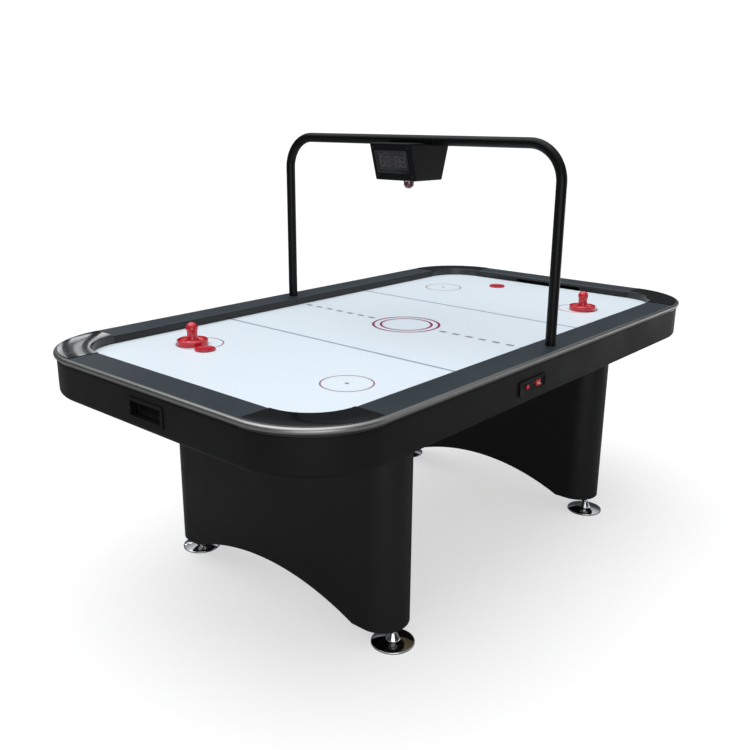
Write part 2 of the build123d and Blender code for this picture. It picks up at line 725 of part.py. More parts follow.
def make_scorer_housing():
    """Tapered box under the crossbar, with a saddle for the tube and two windows."""
    outline = Polygon(
        (-SCORER_BOTTOM_LENGTH / 2, SCORER_BOTTOM),
        (SCORER_BOTTOM_LENGTH / 2, SCORER_BOTTOM),
        (SCORER_TOP_LENGTH / 2, SCORER_TOP),
        (-SCORER_TOP_LENGTH / 2, SCORER_TOP),
        align=None,
    )
    body = extrude(Plane.XZ * outline, SCORER_WIDTH / 2, both=True)
    body = fillet(body.edges(), SCORER_EDGE_ROUND)
    hollow = extrude(Plane.XZ * offset(outline, -SCORER_WALL), SCORER_WIDTH / 2 - SCORER_WALL, both=True)
    body -= hollow & block(
        span(0, SCORER_TOP_LENGTH), span(0, SCORER_WIDTH), (SCORER_BOTTOM, SCORER_TOP - SCORER_ROOF)
    )
    body -= Pos(0, 0, ARCH_BAR_Z) * Rot(90, 0, 0) * Cylinder(TUBE_RADIUS + TUBE_CLEARANCE, 2 * SCORER_WIDTH)
    body -= rod(LAMP_NECK_RADIUS + LENS_CLEARANCE, SCORER_BOTTOM - 1, SCORER_BOTTOM + SCORER_WALL + 1)
    for end in (-1, 1):
        gap = 2 * LENS_CLEARANCE
        body -= display_slab(end, LENS_WIDTH + gap, LENS_HEIGHT + gap, -LENS_THICKNESS - LENS_CLEARANCE, 1)
        body -= display_slab(
            end, LENS_WIDTH - 2 * LENS_REBATE, LENS_HEIGHT - 2 * LENS_REBATE, -2 * SCORER_WALL, 1
        )
    return body


def make_scorer_lenses():
    lenses = [display_slab(end, LENS_WIDTH, LENS_HEIGHT, -LENS_THICKNESS, 0) for end in (-1, 1)]
    return Compound(children=lenses)


def make_digit_modules():
    """A board behind each window, with the digit block standing in the window."""
    modules = []
    for end in (-1, 1):
        board = display_slab(
            end,
            LENS_WIDTH,
            LENS_HEIGHT - LENS_REBATE,
            -SCORER_WALL - LENS_CLEARANCE - DIGIT_BOARD,
            -SCORER_WALL - LENS_CLEARANCE,
        )
        margin = 2 * (LENS_REBATE + DIGIT_BLOCK_MARGIN)
        digits = display_slab(
            end,
            LENS_WIDTH - margin,
            LENS_HEIGHT - margin,
            -SCORER_WALL - LENS_CLEARANCE,
            -SCORER_WALL - LENS_CLEARANCE + DIGIT_BLOCK,
        )
        modules.append(board + digits)
    return Compound(children=modules)


def make_scorer_lamp():
    """Domed lamp under the scorer, its neck up through the floor."""
    collar_low = SCORER_BOTTOM - LAMP_COLLAR_HEIGHT
    body_low = collar_low - LAMP_BODY_HEIGHT
    lamp = rod(LAMP_NECK_RADIUS, SCORER_BOTTOM, SCORER_BOTTOM + LAMP_NECK_HEIGHT)
    lamp += rod(LAMP_COLLAR_RADIUS, collar_low, SCORER_BOTTOM)
    lamp += rod(LAMP_RADIUS, body_low, collar_low)
    dome = Pos(0, 0, body_low) * Sphere(LAMP_RADIUS)
    return lamp + (dome & rod(LAMP_RADIUS, body_low - LAMP_RADIUS, body_low))


# ---------------------------------------------------------------- control panel and power

PANEL_FACE_Y = -APRON_FACE_Y - PANEL_PROUD
PANEL_FLOOR_Y = PANEL_FACE_Y + PANEL_RECESS
PANEL_PLATE_BACK_Y = PANEL_FLOOR_Y + PANEL_WALL
PANEL_BACK_Y = -APRON_FACE_Y + PANEL_BOX_DEPTH
SWITCH_CENTRE_X = PANEL_X + SWITCH_X
SWITCH_PIVOT_Y = PANEL_PLATE_BACK_Y + SWITCH_PIVOT_DEPTH
BUTTON_CENTRE_X = PANEL_X + BUTTON_X


def panel_box(grow):
    """Outside of the panel's box where it passes through the apron."""
    return block(
        span(PANEL_X, PANEL_WIDTH / 2 - PANEL_RIM + grow),
        (-APRON_FACE_Y, PANEL_BACK_Y),
        span(PANEL_Z, PANEL_HEIGHT / 2 - PANEL_RIM + grow),
    )


def along_y(radius, low, high, x, z):
    """Cylinder along Y between two places."""
    return Pos(x, low, z) * Rot(-90, 0, 0) * Cylinder(radius, high - low, align=(MID, MID, LOW))


def make_control_panel():
    """Recessed plate with a box behind it, cheeks for the switch and a button hole."""
    plate = block(
        span(PANEL_X, PANEL_WIDTH / 2), (PANEL_FACE_Y, -APRON_FACE_Y), span(PANEL_Z, PANEL_HEIGHT / 2)
    )
    plate = fillet(plate.edges().filter_by(Axis.Y), PANEL_RIM * 0.8)
    recess_half_x = PANEL_WIDTH / 2 - PANEL_RIM - PANEL_WALL
    recess_half_z = PANEL_HEIGHT / 2 - PANEL_RIM - PANEL_WALL
    recess_x, recess_z = span(PANEL_X, recess_half_x), span(PANEL_Z, recess_half_z)
    panel = plate + panel_box(0)
    panel -= block(recess_x, (PANEL_FACE_Y - 1, PANEL_FLOOR_Y), recess_z)
    panel -= block(recess_x, (PANEL_PLATE_BACK_Y, PANEL_BACK_Y + 1), recess_z)
    opening_half_x = SWITCH_WIDTH / 2 + SWITCH_SIDE_GAP
    opening = block(
        span(SWITCH_CENTRE_X, opening_half_x),
        (PANEL_FACE_Y, PANEL_BACK_Y),
        span(PANEL_Z, SWITCH_HALF_HEIGHT + SWITCH_SWING_GAP),
    )
    for side in (-1, 1):
        near = SWITCH_CENTRE_X + side * opening_half_x
        far = near + side * CHEEK_THICKNESS
        panel += block(
            tuple(sorted((near, far))), (PANEL_FLOOR_Y, SWITCH_PIVOT_Y + SWITCH_BACK), recess_z
        )
    pin_bore = Pos(SWITCH_CENTRE_X, SWITCH_PIVOT_Y, PANEL_Z) * Rot(0, 90, 0) * Cylinder(
        SWITCH_PIN_RADIUS + STEM_CLEARANCE, 2 * (opening_half_x + CHEEK_THICKNESS) + 1
    )
    bore = BUTTON_RADIUS + PANEL_CLEARANCE
    button_hole = along_y(bore, PANEL_FACE_Y, PANEL_PLATE_BACK_Y + 1, BUTTON_CENTRE_X, PANEL_Z)
    return panel - opening - pin_bore - button_hole


def make_power_switch():
    """Rocker on two side pins, at rest tipped to off."""
    pivot = Pos(SWITCH_CENTRE_X, SWITCH_PIVOT_Y, PANEL_Z)
    face = Plane.YZ * Polygon(
        (-SWITCH_FRONT, -SWITCH_HALF_HEIGHT),
        (-SWITCH_FRONT + 1.5, 0),
        (-SWITCH_FRONT, SWITCH_HALF_HEIGHT),
        (0, SWITCH_HALF_HEIGHT),
        (SWITCH_BACK, SWITCH_HALF_HEIGHT / 2),
        (SWITCH_BACK, -SWITCH_HALF_HEIGHT / 2),
        (0, -SWITCH_HALF_HEIGHT),
        align=None,
    )
    rocker = extrude(face, SWITCH_WIDTH / 2, both=True)
    pin_length = SWITCH_WIDTH + 2 * (SWITCH_SIDE_GAP + CHEEK_THICKNESS)
    rocker += Rot(0, 90, 0) * Cylinder(SWITCH_PIN_RADIUS, pin_length)
    return pivot * Rot(-SWITCH_THROW, 0, 0) * rocker


BUTTON_BACK_Y = PANEL_PLATE_BACK_Y + SEAT_CLEARANCE + BUTTON_FLANGE_THICKNESS


def make_reset_button():
    """Round cap with a flange behind the plate and a stem towards the board."""
    x, z = BUTTON_CENTRE_X, PANEL_Z
    cap = along_y(BUTTON_RADIUS, PANEL_FLOOR_Y - BUTTON_PROUD, BUTTON_BACK_Y, x, z)
    cap = fillet(cap.edges().group_by(Axis.Y)[0], BUTTON_EDGE_ROUND)
    flange = along_y(
        BUTTON_RADIUS + BUTTON_FLANGE, BUTTON_BACK_Y - BUTTON_FLANGE_THICKNESS, BUTTON_BACK_Y, x, z
    )
    return cap + flange + along_y(BUTTON_RADIUS / 2, BUTTON_BACK_Y, BUTTON_BACK_Y + BUTTON_STEM, x, z)


def make_panel_board():
    """Board across the back of the panel's box, with the button's tact switch on it."""
    half_x = PANEL_WIDTH / 2 - PANEL_RIM - PANEL_WALL
    half_z = PANEL_HEIGHT / 2 - PANEL_RIM - PANEL_WALL
    board = block(
        span(PANEL_X, half_x), (PANEL_BACK_Y - BOARD_THICKNESS, PANEL_BACK_Y), span(PANEL_Z, half_z)
    )
    tact_front = BUTTON_BACK_Y + BUTTON_STEM + BUTTON_TRAVEL + SEAT_CLEARANCE
    tact = block(
        span(BUTTON_CENTRE_X, TACT_SIZE / 2), (tact_front, PANEL_BACK_Y), span(PANEL_Z, TACT_SIZE / 2)
    )
    return board + tact


def jack_body(radius):
    """Barrel of the power jack through the far apron."""
    return along_y(radius, APRON_FACE_Y - JACK_LENGTH, APRON_FACE_Y, JACK_X, JACK_Z)


def make_power_jack():
    """Panel jack with a centre pin in its socket."""
    outside = APRON_FACE_Y + JACK_FLANGE_THICKNESS
    jack = jack_body(JACK_RADIUS) + along_y(JACK_FLANGE_RADIUS, APRON_FACE_Y, outside, JACK_X, JACK_Z)
    floor = outside - JACK_HOLE_DEPTH
    jack -= along_y(JACK_HOLE_RADIUS, floor, outside + 1, JACK_X, JACK_Z)
    return jack + along_y(JACK_PIN_RADIUS, floor - 1, outside - 1, JACK_X, JACK_Z)


# ---------------------------------------------------------------- strikers and pucks


def make_striker(place):
    """Dished base with a rolled rim and a domed grip, hollow underneath."""
    low = PLAYFIELD_TOP + FLOAT_GAP
    radius, rim, neck, knob = STRIKER_RADIUS, STRIKER_RIM, STRIKER_NECK_RADIUS, STRIKER_KNOB_RADIUS
    knob_centre = STRIKER_HEIGHT - knob
    edge, hollow, floor = STRIKER_EDGE_ROUND, STRIKER_HOLLOW_RADIUS, STRIKER_FLOOR
    wall = Polyline(
        (0, floor),
        (hollow, floor),
        (hollow, 0),
        (radius - edge / 2, 0),
        (radius, edge / 2),
        (radius, rim - edge),
    )
    roll = ThreePointArc((radius, rim - edge), (radius - edge, rim), (radius - 2 * edge, rim - edge))
    dish = Spline(
        (radius - 2 * edge, rim - edge),
        (radius * 0.66, rim * 0.5),
        (neck + 4, rim * 0.85),
        (neck, rim * 1.7),
        (neck + 1.5, knob_centre - 8),
        (knob, knob_centre),
        tangents=[(-0.5, -1), (0, 1)],
    )
    dome = ThreePointArc(
        (knob, knob_centre),
        (knob * math.cos(math.radians(45)), knob_centre + knob * math.sin(math.radians(45))),
        (0, STRIKER_HEIGHT),
    )
    axis = Line((0, STRIKER_HEIGHT), (0, floor))
    section = Plane.XZ * make_face(wall + roll + dish + dome + axis)
    return Pos(place[0], place[1], low) * revolve(section, Axis.Z)


def make_puck(place):
    low = PLAYFIELD_TOP + FLOAT_GAP
    disc = rod(PUCK_RADIUS, low, low + PUCK_THICKNESS, *place)
    return fillet(disc.edges().filter_by(GeomType.CIRCLE), PUCK_EDGE_ROUND)


# ---------------------------------------------------------------- assembly


def make_all():
    parts = {
        "playfield": make_playfield(),
        "plenum_frame": make_plenum_frame(),
        "plenum_floor": make_plenum_floor(),
        "cross_bearers": make_cross_bearers(),
        **make_aprons(),
        **make_rails(),
        "edge_trim": make_edge_trim(),
        "goal_sensors": make_goal_sensors(),
        "leg_bolts": make_leg_bolts(),
        "leveller_inserts": make_leveller_inserts(),
        "blower_housing": make_blower_housing(),
        "blower_grille": make_blower_grille(),
        "blower_motor": make_blower_motor(),
        "blower_impeller": make_blower_impeller(),
        "near_arch_tube": make_arch_tube(-1),
        "far_arch_tube": make_arch_tube(1),
        "arch_sleeve": make_arch_sleeve(),
        "arch_sockets": make_arch_sockets(),
        "scorer_housing": make_scorer_housing(),
        "scorer_lenses": make_scorer_lenses(),
        "digit_modules": make_digit_modules(),
        "scorer_lamp": make_scorer_lamp(),
        "control_panel": make_control_panel(),
        "power_switch": make_power_switch(),
        "reset_button": make_reset_button(),
        "panel_board": make_panel_board(),
        "power_jack": make_power_jack(),
    }
    for name, end in (("left", -1), ("right", 1)):
        parts[f"{name}_goal_box"] = make_goal_box(end)
        parts[f"{name}_return_frame"] = make_return_frame(end)
        parts[f"{name}_leg_outer_panel"] = leg_panel(end, 1)
        parts[f"{name}_leg_inner_panel"] = leg_panel(end, -1)
        parts[f"{name}_leg_ends"] = make_leg_ends(end)
        parts[f"{name}_leg_top_plate"] = make_leg_top_plate(end)
        parts[f"{name}_leg_foot_blocks"] = make_foot_blocks(end)
        for side_name, side in (("near", -1), ("far", 1)):
            parts[f"{name}_{side_name}_leveller"] = make_leveller(end, side)
    for name, place in STRIKER_PLACES.items():
        parts[name] = make_striker(place)
    for name, place in PUCK_PLACES.items():
        parts[name] = make_puck(place)
    return parts


os.makedirs("parts", exist_ok=True)
for part_name, part in make_all().items():
    export_step(part, f"parts/{part_name}.step")
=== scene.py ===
"""Looks of the air hockey table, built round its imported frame. Metres, +X along the table, +Z up."""

import json
import math

import bmesh
import bpy
import numpy as np
from mathutils import Matrix, Vector


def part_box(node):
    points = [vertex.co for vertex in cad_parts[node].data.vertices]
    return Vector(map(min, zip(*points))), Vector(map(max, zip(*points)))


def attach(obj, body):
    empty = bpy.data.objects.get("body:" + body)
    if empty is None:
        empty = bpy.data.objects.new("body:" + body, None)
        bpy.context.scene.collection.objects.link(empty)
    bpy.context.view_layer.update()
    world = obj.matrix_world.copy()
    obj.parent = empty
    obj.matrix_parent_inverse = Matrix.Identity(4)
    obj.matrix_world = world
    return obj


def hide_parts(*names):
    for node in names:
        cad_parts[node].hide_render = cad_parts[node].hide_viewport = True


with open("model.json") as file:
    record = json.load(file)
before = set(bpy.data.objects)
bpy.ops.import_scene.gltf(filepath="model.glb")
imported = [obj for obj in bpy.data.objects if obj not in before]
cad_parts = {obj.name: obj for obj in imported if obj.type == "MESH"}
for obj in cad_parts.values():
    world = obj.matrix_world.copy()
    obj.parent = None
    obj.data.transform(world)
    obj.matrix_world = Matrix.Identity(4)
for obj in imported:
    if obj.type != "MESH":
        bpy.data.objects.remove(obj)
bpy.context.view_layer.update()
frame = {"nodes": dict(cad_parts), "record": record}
NODES = frame["nodes"]

# ---- places taken from the frame

ENDS = {"left": -1, "right": 1}
SIDES = {"near": -1, "far": 1}


def box(node):
    """Lowest and highest corner of a part, as arrays."""
    return [np.array(corner, float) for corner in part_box(node)]


def centre(node):
    """Middle of a part's box."""
    low, high = box(node)
    return (low + high) / 2


HALF_LENGTH, HALF_WIDTH, TRIM_TOP = box("edge_trim")[1]
TRIM_LOW = box("edge_trim")[0][2]
SEAM_X = box("near_rail")[1][0]
SEAM_Y = box("left_rail")[1][1]
CORNER = HALF_LENGTH - SEAM_X
RAIL_OUTER = HALF_WIDTH + box("near_rail")[0][1]
RAIL_INNER = HALF_WIDTH + box("near_rail")[1][1]
PLAY_Z = box("playfield")[1][2]
RAIL_TOP = box("near_rail")[1][2]
CAP_TOP = box("left_near_corner_cap")[1][2]
SKIRT_LOW = box("near_apron")[0][2]
SKIRT_INSET = HALF_LENGTH - box("right_apron")[1][0]
SKIRT_DEPTH = box("right_apron")[1][0] - box("right_apron")[0][0]

MM = 0.001

# ---- camera and studio

CAMERA_PLACE = Vector((-2.2127, -1.7614, 1.4336))
CAMERA_YAW = math.radians(40.67)
CAMERA_PITCH = math.radians(16.74)
CAMERA_ROLL = math.radians(-0.48)
CAMERA_LENS = 40.36
FLOOR_HALF = 30.0


def add_camera():
    """Camera turned by yaw from +X, tipped down by pitch and rolled about its own line of sight."""
    yaw, pitch = CAMERA_YAW, CAMERA_PITCH
    sight = Vector((math.cos(yaw) * math.cos(pitch), math.sin(yaw) * math.cos(pitch), -math.sin(pitch)))
    level = Vector((math.sin(yaw), -math.cos(yaw), 0.0))
    down = sight.cross(level)
    right = math.cos(CAMERA_ROLL) * level + math.sin(CAMERA_ROLL) * down
    down = math.cos(CAMERA_ROLL) * down - math.sin(CAMERA_ROLL) * level
    camera = bpy.data.objects.new("camera", bpy.data.cameras.new("camera"))
    camera.data.lens = CAMERA_LENS
    camera.data.clip_end = 100.0
    camera.matrix_world = Matrix((
        (right.x, -down.x, -sight.x, CAMERA_PLACE.x),
        (right.y, -down.y, -sight.y, CAMERA_PLACE.y),
        (right.z, -down.z, -sight.z, CAMERA_PLACE.z),
        (0.0, 0.0, 0.0, 1.0),
    ))
    bpy.context.scene.collection.objects.link(camera)
    bpy.context.scene.camera = camera


BACKDROP_STRENGTH = 1.05
ROOM_STRENGTH = 1.0
# each stop of the room: height of the ray, colour
ROOM_TONES = (
    (0.0, (0.035, 0.037, 0.04)),
    (1.0, (1.0, 1.0, 1.0)),
    (0.36, (0.05, 0.053, 0.058)),
    (0.62, (0.55, 0.57, 0.6)),
)
SUN_STRENGTH = 1.9
SUN_SPREAD = math.radians(70)
WINDOW_GLOW = 5.5
# each pane: turn in degrees round the aim, rise, width and height
WINDOW_PANES = (
    (57.5, 1.15, 0.16, 0.42),
    (60.4, 1.32, 0.12, 0.3),
    (61.0, 0.96, 0.2, 0.2),
    (64.2, 1.2, 0.14, 0.46),
    (67.0, 1.05, 0.1, 0.3),
)
WINDOW_REACH = 4.6
WINDOW_AIM = Vector((-0.95, 0.5, 0.79))
WINDOW_TINT = (0.93, 0.97, 1.0)
CANOPY_TILT = (math.radians(-12), math.radians(-8), 0)
SOFTBOXES = (
    ("front_softbox", (-3.2, -4.2, 2.6), (0.2, -0.3, 0.6), (2.4, 1.6), 16.0),
    ("side_softbox", (3.4, -4.0, 1.9), (0.4, -0.5, 0.6), (2.0, 1.6), 12.0),
    ("low_fill", (-3.6, -3.4, 0.9), (0.0, 0.0, 0.4), (4.0, 1.8), 50.0),
    ("floor_side_card", (4.2, -1.6, 0.5), (-0.2, -0.4, 0.1), (3.0, 0.9), 14.0),
)


def add_softbox(name, place, aim, size, watts, colour=(1.0, 1.0, 1.0)):
    """Rectangular area light at a place, facing a point."""
    data = bpy.data.lights.new(name, "AREA")
    data.shape = "RECTANGLE"
    data.size, data.size_y = size
    data.energy = watts
    data.color = colour
    light = bpy.data.objects.new(name, data)
    light.location = place
    light.rotation_euler = (Vector(aim) - Vector(place)).to_track_quat("-Z", "Y").to_euler()
    bpy.context.scene.collection.objects.link(light)


def add_world():
    """White backdrop for the lens; the table is lit by a room that is dark low down and bright overhead."""
    world = bpy.data.worlds.new("studio")
    bpy.context.scene.world = world
    world.use_nodes = True
    nodes, links = world.node_tree.nodes, world.node_tree.links
    nodes.clear()
    seen = nodes.new("ShaderNodeBackground")
    seen.inputs["Color"].default_value = (1.0, 1.0, 1.0, 1.0)
    seen.inputs["Strength"].default_value = BACKDROP_STRENGTH
    room = nodes.new("ShaderNodeBackground")
    room.inputs["Strength"].default_value = ROOM_STRENGTH
    direction = nodes.new("ShaderNodeTexCoord")
    height = nodes.new("ShaderNodeSeparateXYZ")
    ramp = nodes.new("ShaderNodeValToRGB")
    for stop, (level, tone) in enumerate(ROOM_TONES):
        place = ramp.color_ramp.elements[stop] if stop < 2 else ramp.color_ramp.elements.new(level)
        place.position = level
        place.color = (*tone, 1.0)
    rays = nodes.new("ShaderNodeLightPath")
    mix = nodes.new("ShaderNodeMixShader")
    out = nodes.new("ShaderNodeOutputWorld")
    links.new(direction.outputs["Generated"], height.inputs[0])
    links.new(height.outputs["Z"], ramp.inputs["Fac"])
    links.new(ramp.outputs["Color"], room.inputs["Color"])
    links.new(rays.outputs["Is Camera Ray"], mix.inputs["Fac"])
    links.new(room.outputs[0], mix.inputs[1])
    links.new(seen.outputs[0], mix.inputs[2])
    links.new(mix.outputs[0], out.inputs["Surface"])


def add_studio():
    """Broad canopy overhead, four softboxes, and panes set round an arc that show in the far left cap."""
    bpy.context.scene.view_settings.view_transform = "Standard"
    add_world()
    data = bpy.data.lights.new("overhead_canopy", "SUN")
    data.energy = SUN_STRENGTH
    data.angle = SUN_SPREAD
    canopy = bpy.data.objects.new("overhead_canopy", data)
    canopy.rotation_euler = CANOPY_TILT
    bpy.context.scene.collection.objects.link(canopy)
    for name, place, aim, size, watts in SOFTBOXES:
        add_softbox(name, place, aim, size, watts)
    for pane, (turn, rise, wide, tall) in enumerate(WINDOW_PANES):
        angle = math.radians(turn)
        place = WINDOW_AIM + Vector((WINDOW_REACH * math.cos(angle), WINDOW_REACH * math.sin(angle), rise))
        watts = WINDOW_GLOW * wide * tall
        add_softbox(f"window_pane_{pane}", place, WINDOW_AIM, (wide, tall), watts, WINDOW_TINT)


# ---- surfaces on a grid


def grid_patch(grid, rows_join=False, cols_join=True, capped=True):
    """Grid of points, whether its rows and columns join round, and whether its ends are closed."""
    return grid, rows_join, cols_join, capped


def patch_faces(grid, rows_join, cols_join, capped):
    """Quads between neighbouring rows and columns, with the run along each as its UV in metres."""
    rows, cols = grid.shape[:2]
    row, col = np.meshgrid(
        np.arange(rows if rows_join else rows - 1), np.arange(cols if cols_join else cols - 1),
        indexing="ij"
    )
    step_rows = np.stack([row, row + 1, row + 1, row], -1).reshape(-1, 4)
    step_cols = np.stack([col, col, col + 1, col + 1], -1).reshape(-1, 4)
    quads = (step_rows % rows) * cols + step_cols % cols
    along = run_length(grid[:, 0], rows_join)
    across = run_length(grid[0], cols_join)
    uv = np.stack([along[step_rows], across[step_cols]], -1).reshape(-1, 2)
    faces = quads.tolist()
    if capped:
        faces += [list(range(cols)), list(range((rows - 1) * cols, rows * cols))]
        uv = np.concatenate([uv, np.zeros((2 * cols, 2))])
    return faces, uv


def run_length(points, joined):
    """Distance along a line of points, summed from the first."""
    if joined:
        points = np.concatenate([points, points[:1]])
    steps = np.linalg.norm(np.diff(points, axis=0), axis=1)
    return np.concatenate([[0.0], np.cumsum(steps)])


SMOOTH_UP_TO = 32.0
MERGE_WITHIN = 2e-6
SLIVER = 1e-7


def make_piece(name, patches, slot, material=None, replaces=(), crease=SMOOTH_UP_TO):
    """One mesh from closed patches: doubles merged, faces outward, smooth up to the crease angle."""
    faces, uvs, points, start = [], [], [], 0
    for patch in patches:
        more, uv = patch_faces(*patch)
        faces += [[start + corner for corner in face] for face in more]
        uvs.append(uv)
        points.append(patch[0].reshape(-1, 3))
        start += len(points[-1])
    mesh = bpy.data.meshes.new(name)
    mesh.from_pydata(np.concatenate(points).tolist(), [], faces)
    layer = mesh.uv_layers.new(name="run")
    layer.data.foreach_set("uv", np.concatenate(uvs).astype(np.float32).ravel())
    piece = bpy.data.objects.new(name, mesh)
    bpy.context.scene.collection.objects.link(piece)
    settle(piece, crease)
    place_piece(piece, material or MATERIALS[slot], replaces)


def settle(piece, crease):
    """Merges doubles, turns faces outward and shades smooth, leaving edges sharper than the crease
    angle."""
    mesh = piece.data
    work = bmesh.new()
    work.from_mesh(mesh)
    bmesh.ops.remove_doubles(work, verts=work.verts, dist=MERGE_WITHIN)
    bmesh.ops.dissolve_degenerate(work, edges=work.edges, dist=SLIVER)
    bmesh.ops.recalc_face_normals(work, faces=work.faces)
    work.to_mesh(mesh)
    work.free()
    mesh.polygons.foreach_set("use_smooth", np.ones(len(mesh.polygons), bool))
    mesh.set_sharp_from_angle(angle=math.radians(crease))


def place_piece(piece, material, replaces):
    """Gives a piece its finish and the body that it rides, and hides the parts it stands for."""
    piece.data.materials.clear()
    piece.data.materials.append(material)
    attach(piece, BODY_OF[replaces[0]] if replaces else "table")
    if replaces:
        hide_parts(*replaces)


BODY_OF = {
    node: body for body, members in frame["record"]["behaviour"]["bodies"].items() for node in members
}
SLOT_OF = {entry["node"]: entry["material_slot"] for entry in frame["record"]["subparts"]}


def smooth_shell(node, slot=None):
    """A part's own shape with its doubles merged and its rounded edges shaded smooth."""
    piece = bpy.data.objects.new(f"{node}_shell", NODES[node].data.copy())
    bpy.context.scene.collection.objects.link(piece)
    settle(piece, SMOOTH_UP_TO)
    weigh = piece.modifiers.new("even_normals", "WEIGHTED_NORMAL")
    weigh.keep_sharp = True
    place_piece(piece, MATERIALS[slot or SLOT_OF[node]], (node,))


# ---- outlines


def rounded(points, radii, steps=6):
    """Closed outline whose corners are arcs: each arc turns about a centre on the corner's bisector."""
    points = np.array(points, float)
    parts = []
    for index, radius in enumerate(radii):
        corner = points[index]
        back = points[index - 1] - corner
        ahead = points[(index + 1) % len(points)] - corner
        back, ahead = back / np.linalg.norm(back), ahead / np.linalg.norm(ahead)
        if radius <= 0:
            parts.append(corner[None])
            continue
        half = math.acos(np.clip(back @ ahead, -1, 1)) / 2
        middle = corner + (back + ahead) / np.linalg.norm(back + ahead) * radius / math.sin(half)
        first = corner + back * radius / math.tan(half) - middle
        last = corner + ahead * radius / math.tan(half) - middle
        turn = math.pi - 2 * half
        share = np.linspace(0, 1, steps + 1)[:, None]
        arc = first * np.sin((1 - share) * turn) + last * np.sin(share * turn)
        parts.append(middle + arc / math.sin(turn))
    return np.concatenate(parts)


def arc_points(middle, radius, start, stop, steps):
    """Points on a circle from one angle to another, in degrees."""
    angle = np.radians(np.linspace(start, stop, steps + 1))
    return np.stack([middle[0] + radius * np.cos(angle), middle[1] + radius * np.sin(angle)], -1)


def bezier(a, b, c, d, steps=16):
    """Cubic curve from a to d, leaving towards b and arriving from c."""
    t = np.linspace(0, 1, steps + 1)[:, None]
    a, b, c, d = (np.array(point, float) for point in (a, b, c, d))
    return (1 - t) ** 3 * a + 3 * (1 - t) ** 2 * t * b + 3 * (1 - t) * t**2 * c + t**3 * d


def turned(profile, place=(0.0, 0.0, 0.0), steps=96):
    """Surface of revolution: radius and height of the profile carried round an upright axis."""
    angle = np.linspace(0, 2 * math.pi, steps, endpoint=False)[:, None]
    profile = np.asarray(profile, float)
    radius, height = profile[:, 0], np.broadcast_to(profile[:, 1], (steps, len(profile)))
    grid = np.stack([radius * np.cos(angle), radius * np.sin(angle), height], -1)
    return grid_patch(grid + np.array(place), rows_join=True, cols_join=False, capped=False)


def tilted(patch, turn, place):
    """The same patch turned by a rotation matrix and moved."""
    grid, *rest = patch
    return (grid @ np.array(turn.to_3x3()).T + np.array(place), *rest)


def carried(base, outward, profile):
    """Profile of (inset, height) carried along a path: point = base - inset * outward, raised to height."""
    flat = base[:, None, :] - profile[None, :, 0:1] * outward[:, None, :]
    height = np.broadcast_to(profile[None, :, 1:2], flat.shape[:2] + (1,))
    return np.concatenate([flat, height], -1)


def corner_path(end, side, steps=40):
    """Base points and outward directions round one corner of the table."""
    angle = np.linspace(0, math.pi / 2, steps + 1)
    outward = np.stack([end * np.cos(angle), side * np.sin(angle)], -1)
    return np.array([end * SEAM_X, side * SEAM_Y]) + CORNER * outward, outward


def round_path():
    """Base points and outward directions all round the table."""
    stretches = [corner_path(1, 1), corner_path(-1, 1), corner_path(-1, -1), corner_path(1, -1)]
    flip = [False, True, False, True]
    bases = [base[::-1] if turn else base for (base, _), turn in zip(stretches, flip)]
    outs = [out[::-1] if turn else out for (_, out), turn in zip(stretches, flip)]
    return np.concatenate(bases), np.concatenate(outs)


def side_path(side):
    """The straight path along a long side."""
    path = np.array([[-SEAM_X, side * HALF_WIDTH], [SEAM_X, side * HALF_WIDTH]])
    return path, np.array([[0.0, side]] * 2)


# ---- shader groups


def new_group(name, inputs, outputs):
    """Empty shader group with named sockets: (kind, name, value) in, (kind, name) out."""
    tree = bpy.data.node_groups.new(name, "ShaderNodeTree")
    for kind, label, value in inputs:
        socket = tree.interface.new_socket(name=label, in_out="INPUT", socket_type=f"NodeSocket{kind}")
        if value is not None:
            socket.default_value = value
    for kind, label in outputs:
        tree.interface.new_socket(name=label, in_out="OUTPUT", socket_type=f"NodeSocket{kind}")
    return tree, tree.nodes.new("NodeGroupInput"), tree.nodes.new("NodeGroupOutput")


def math_node(tree, operation, first, second=None, third=None):
    """Math node fed by sockets or plain numbers; gives its output."""
    node = tree.nodes.new("ShaderNodeMath")
    node.operation = operation
    for slot, value in enumerate((first, second, third)):
        if value is None:
            continue
        if isinstance(value, (int, float)):
            node.inputs[slot].default_value = value
        else:
            tree.links.new(value, node.inputs[slot])
    return node.outputs[0]


def noise_node(tree, vector, scale, detail=2.0, roughness=0.5):
    """Noise over a vector; gives its value."""
    node = tree.nodes.new("ShaderNodeTexNoise")
    tree.links.new(vector, node.inputs["Vector"])
    for label, value in (("Scale", scale), ("Detail", detail), ("Roughness", roughness)):
        if isinstance(value, (int, float)):
            node.inputs[label].default_value = value
        else:
            tree.links.new(value, node.inputs[label])
    return node.outputs["Fac"]


def mix_colour(tree, share, first, second):
    """Colour that goes from the first to the second by a share."""
    node = tree.nodes.new("ShaderNodeMix")
    node.data_type = "RGBA"
    for socket, value in ((node.inputs[0], share), (node.inputs[6], first), (node.inputs[7], second)):
        if isinstance(value, (int, float, tuple)):
            socket.default_value = value
        else:
            tree.links.new(value, socket)
    return node.outputs[2]


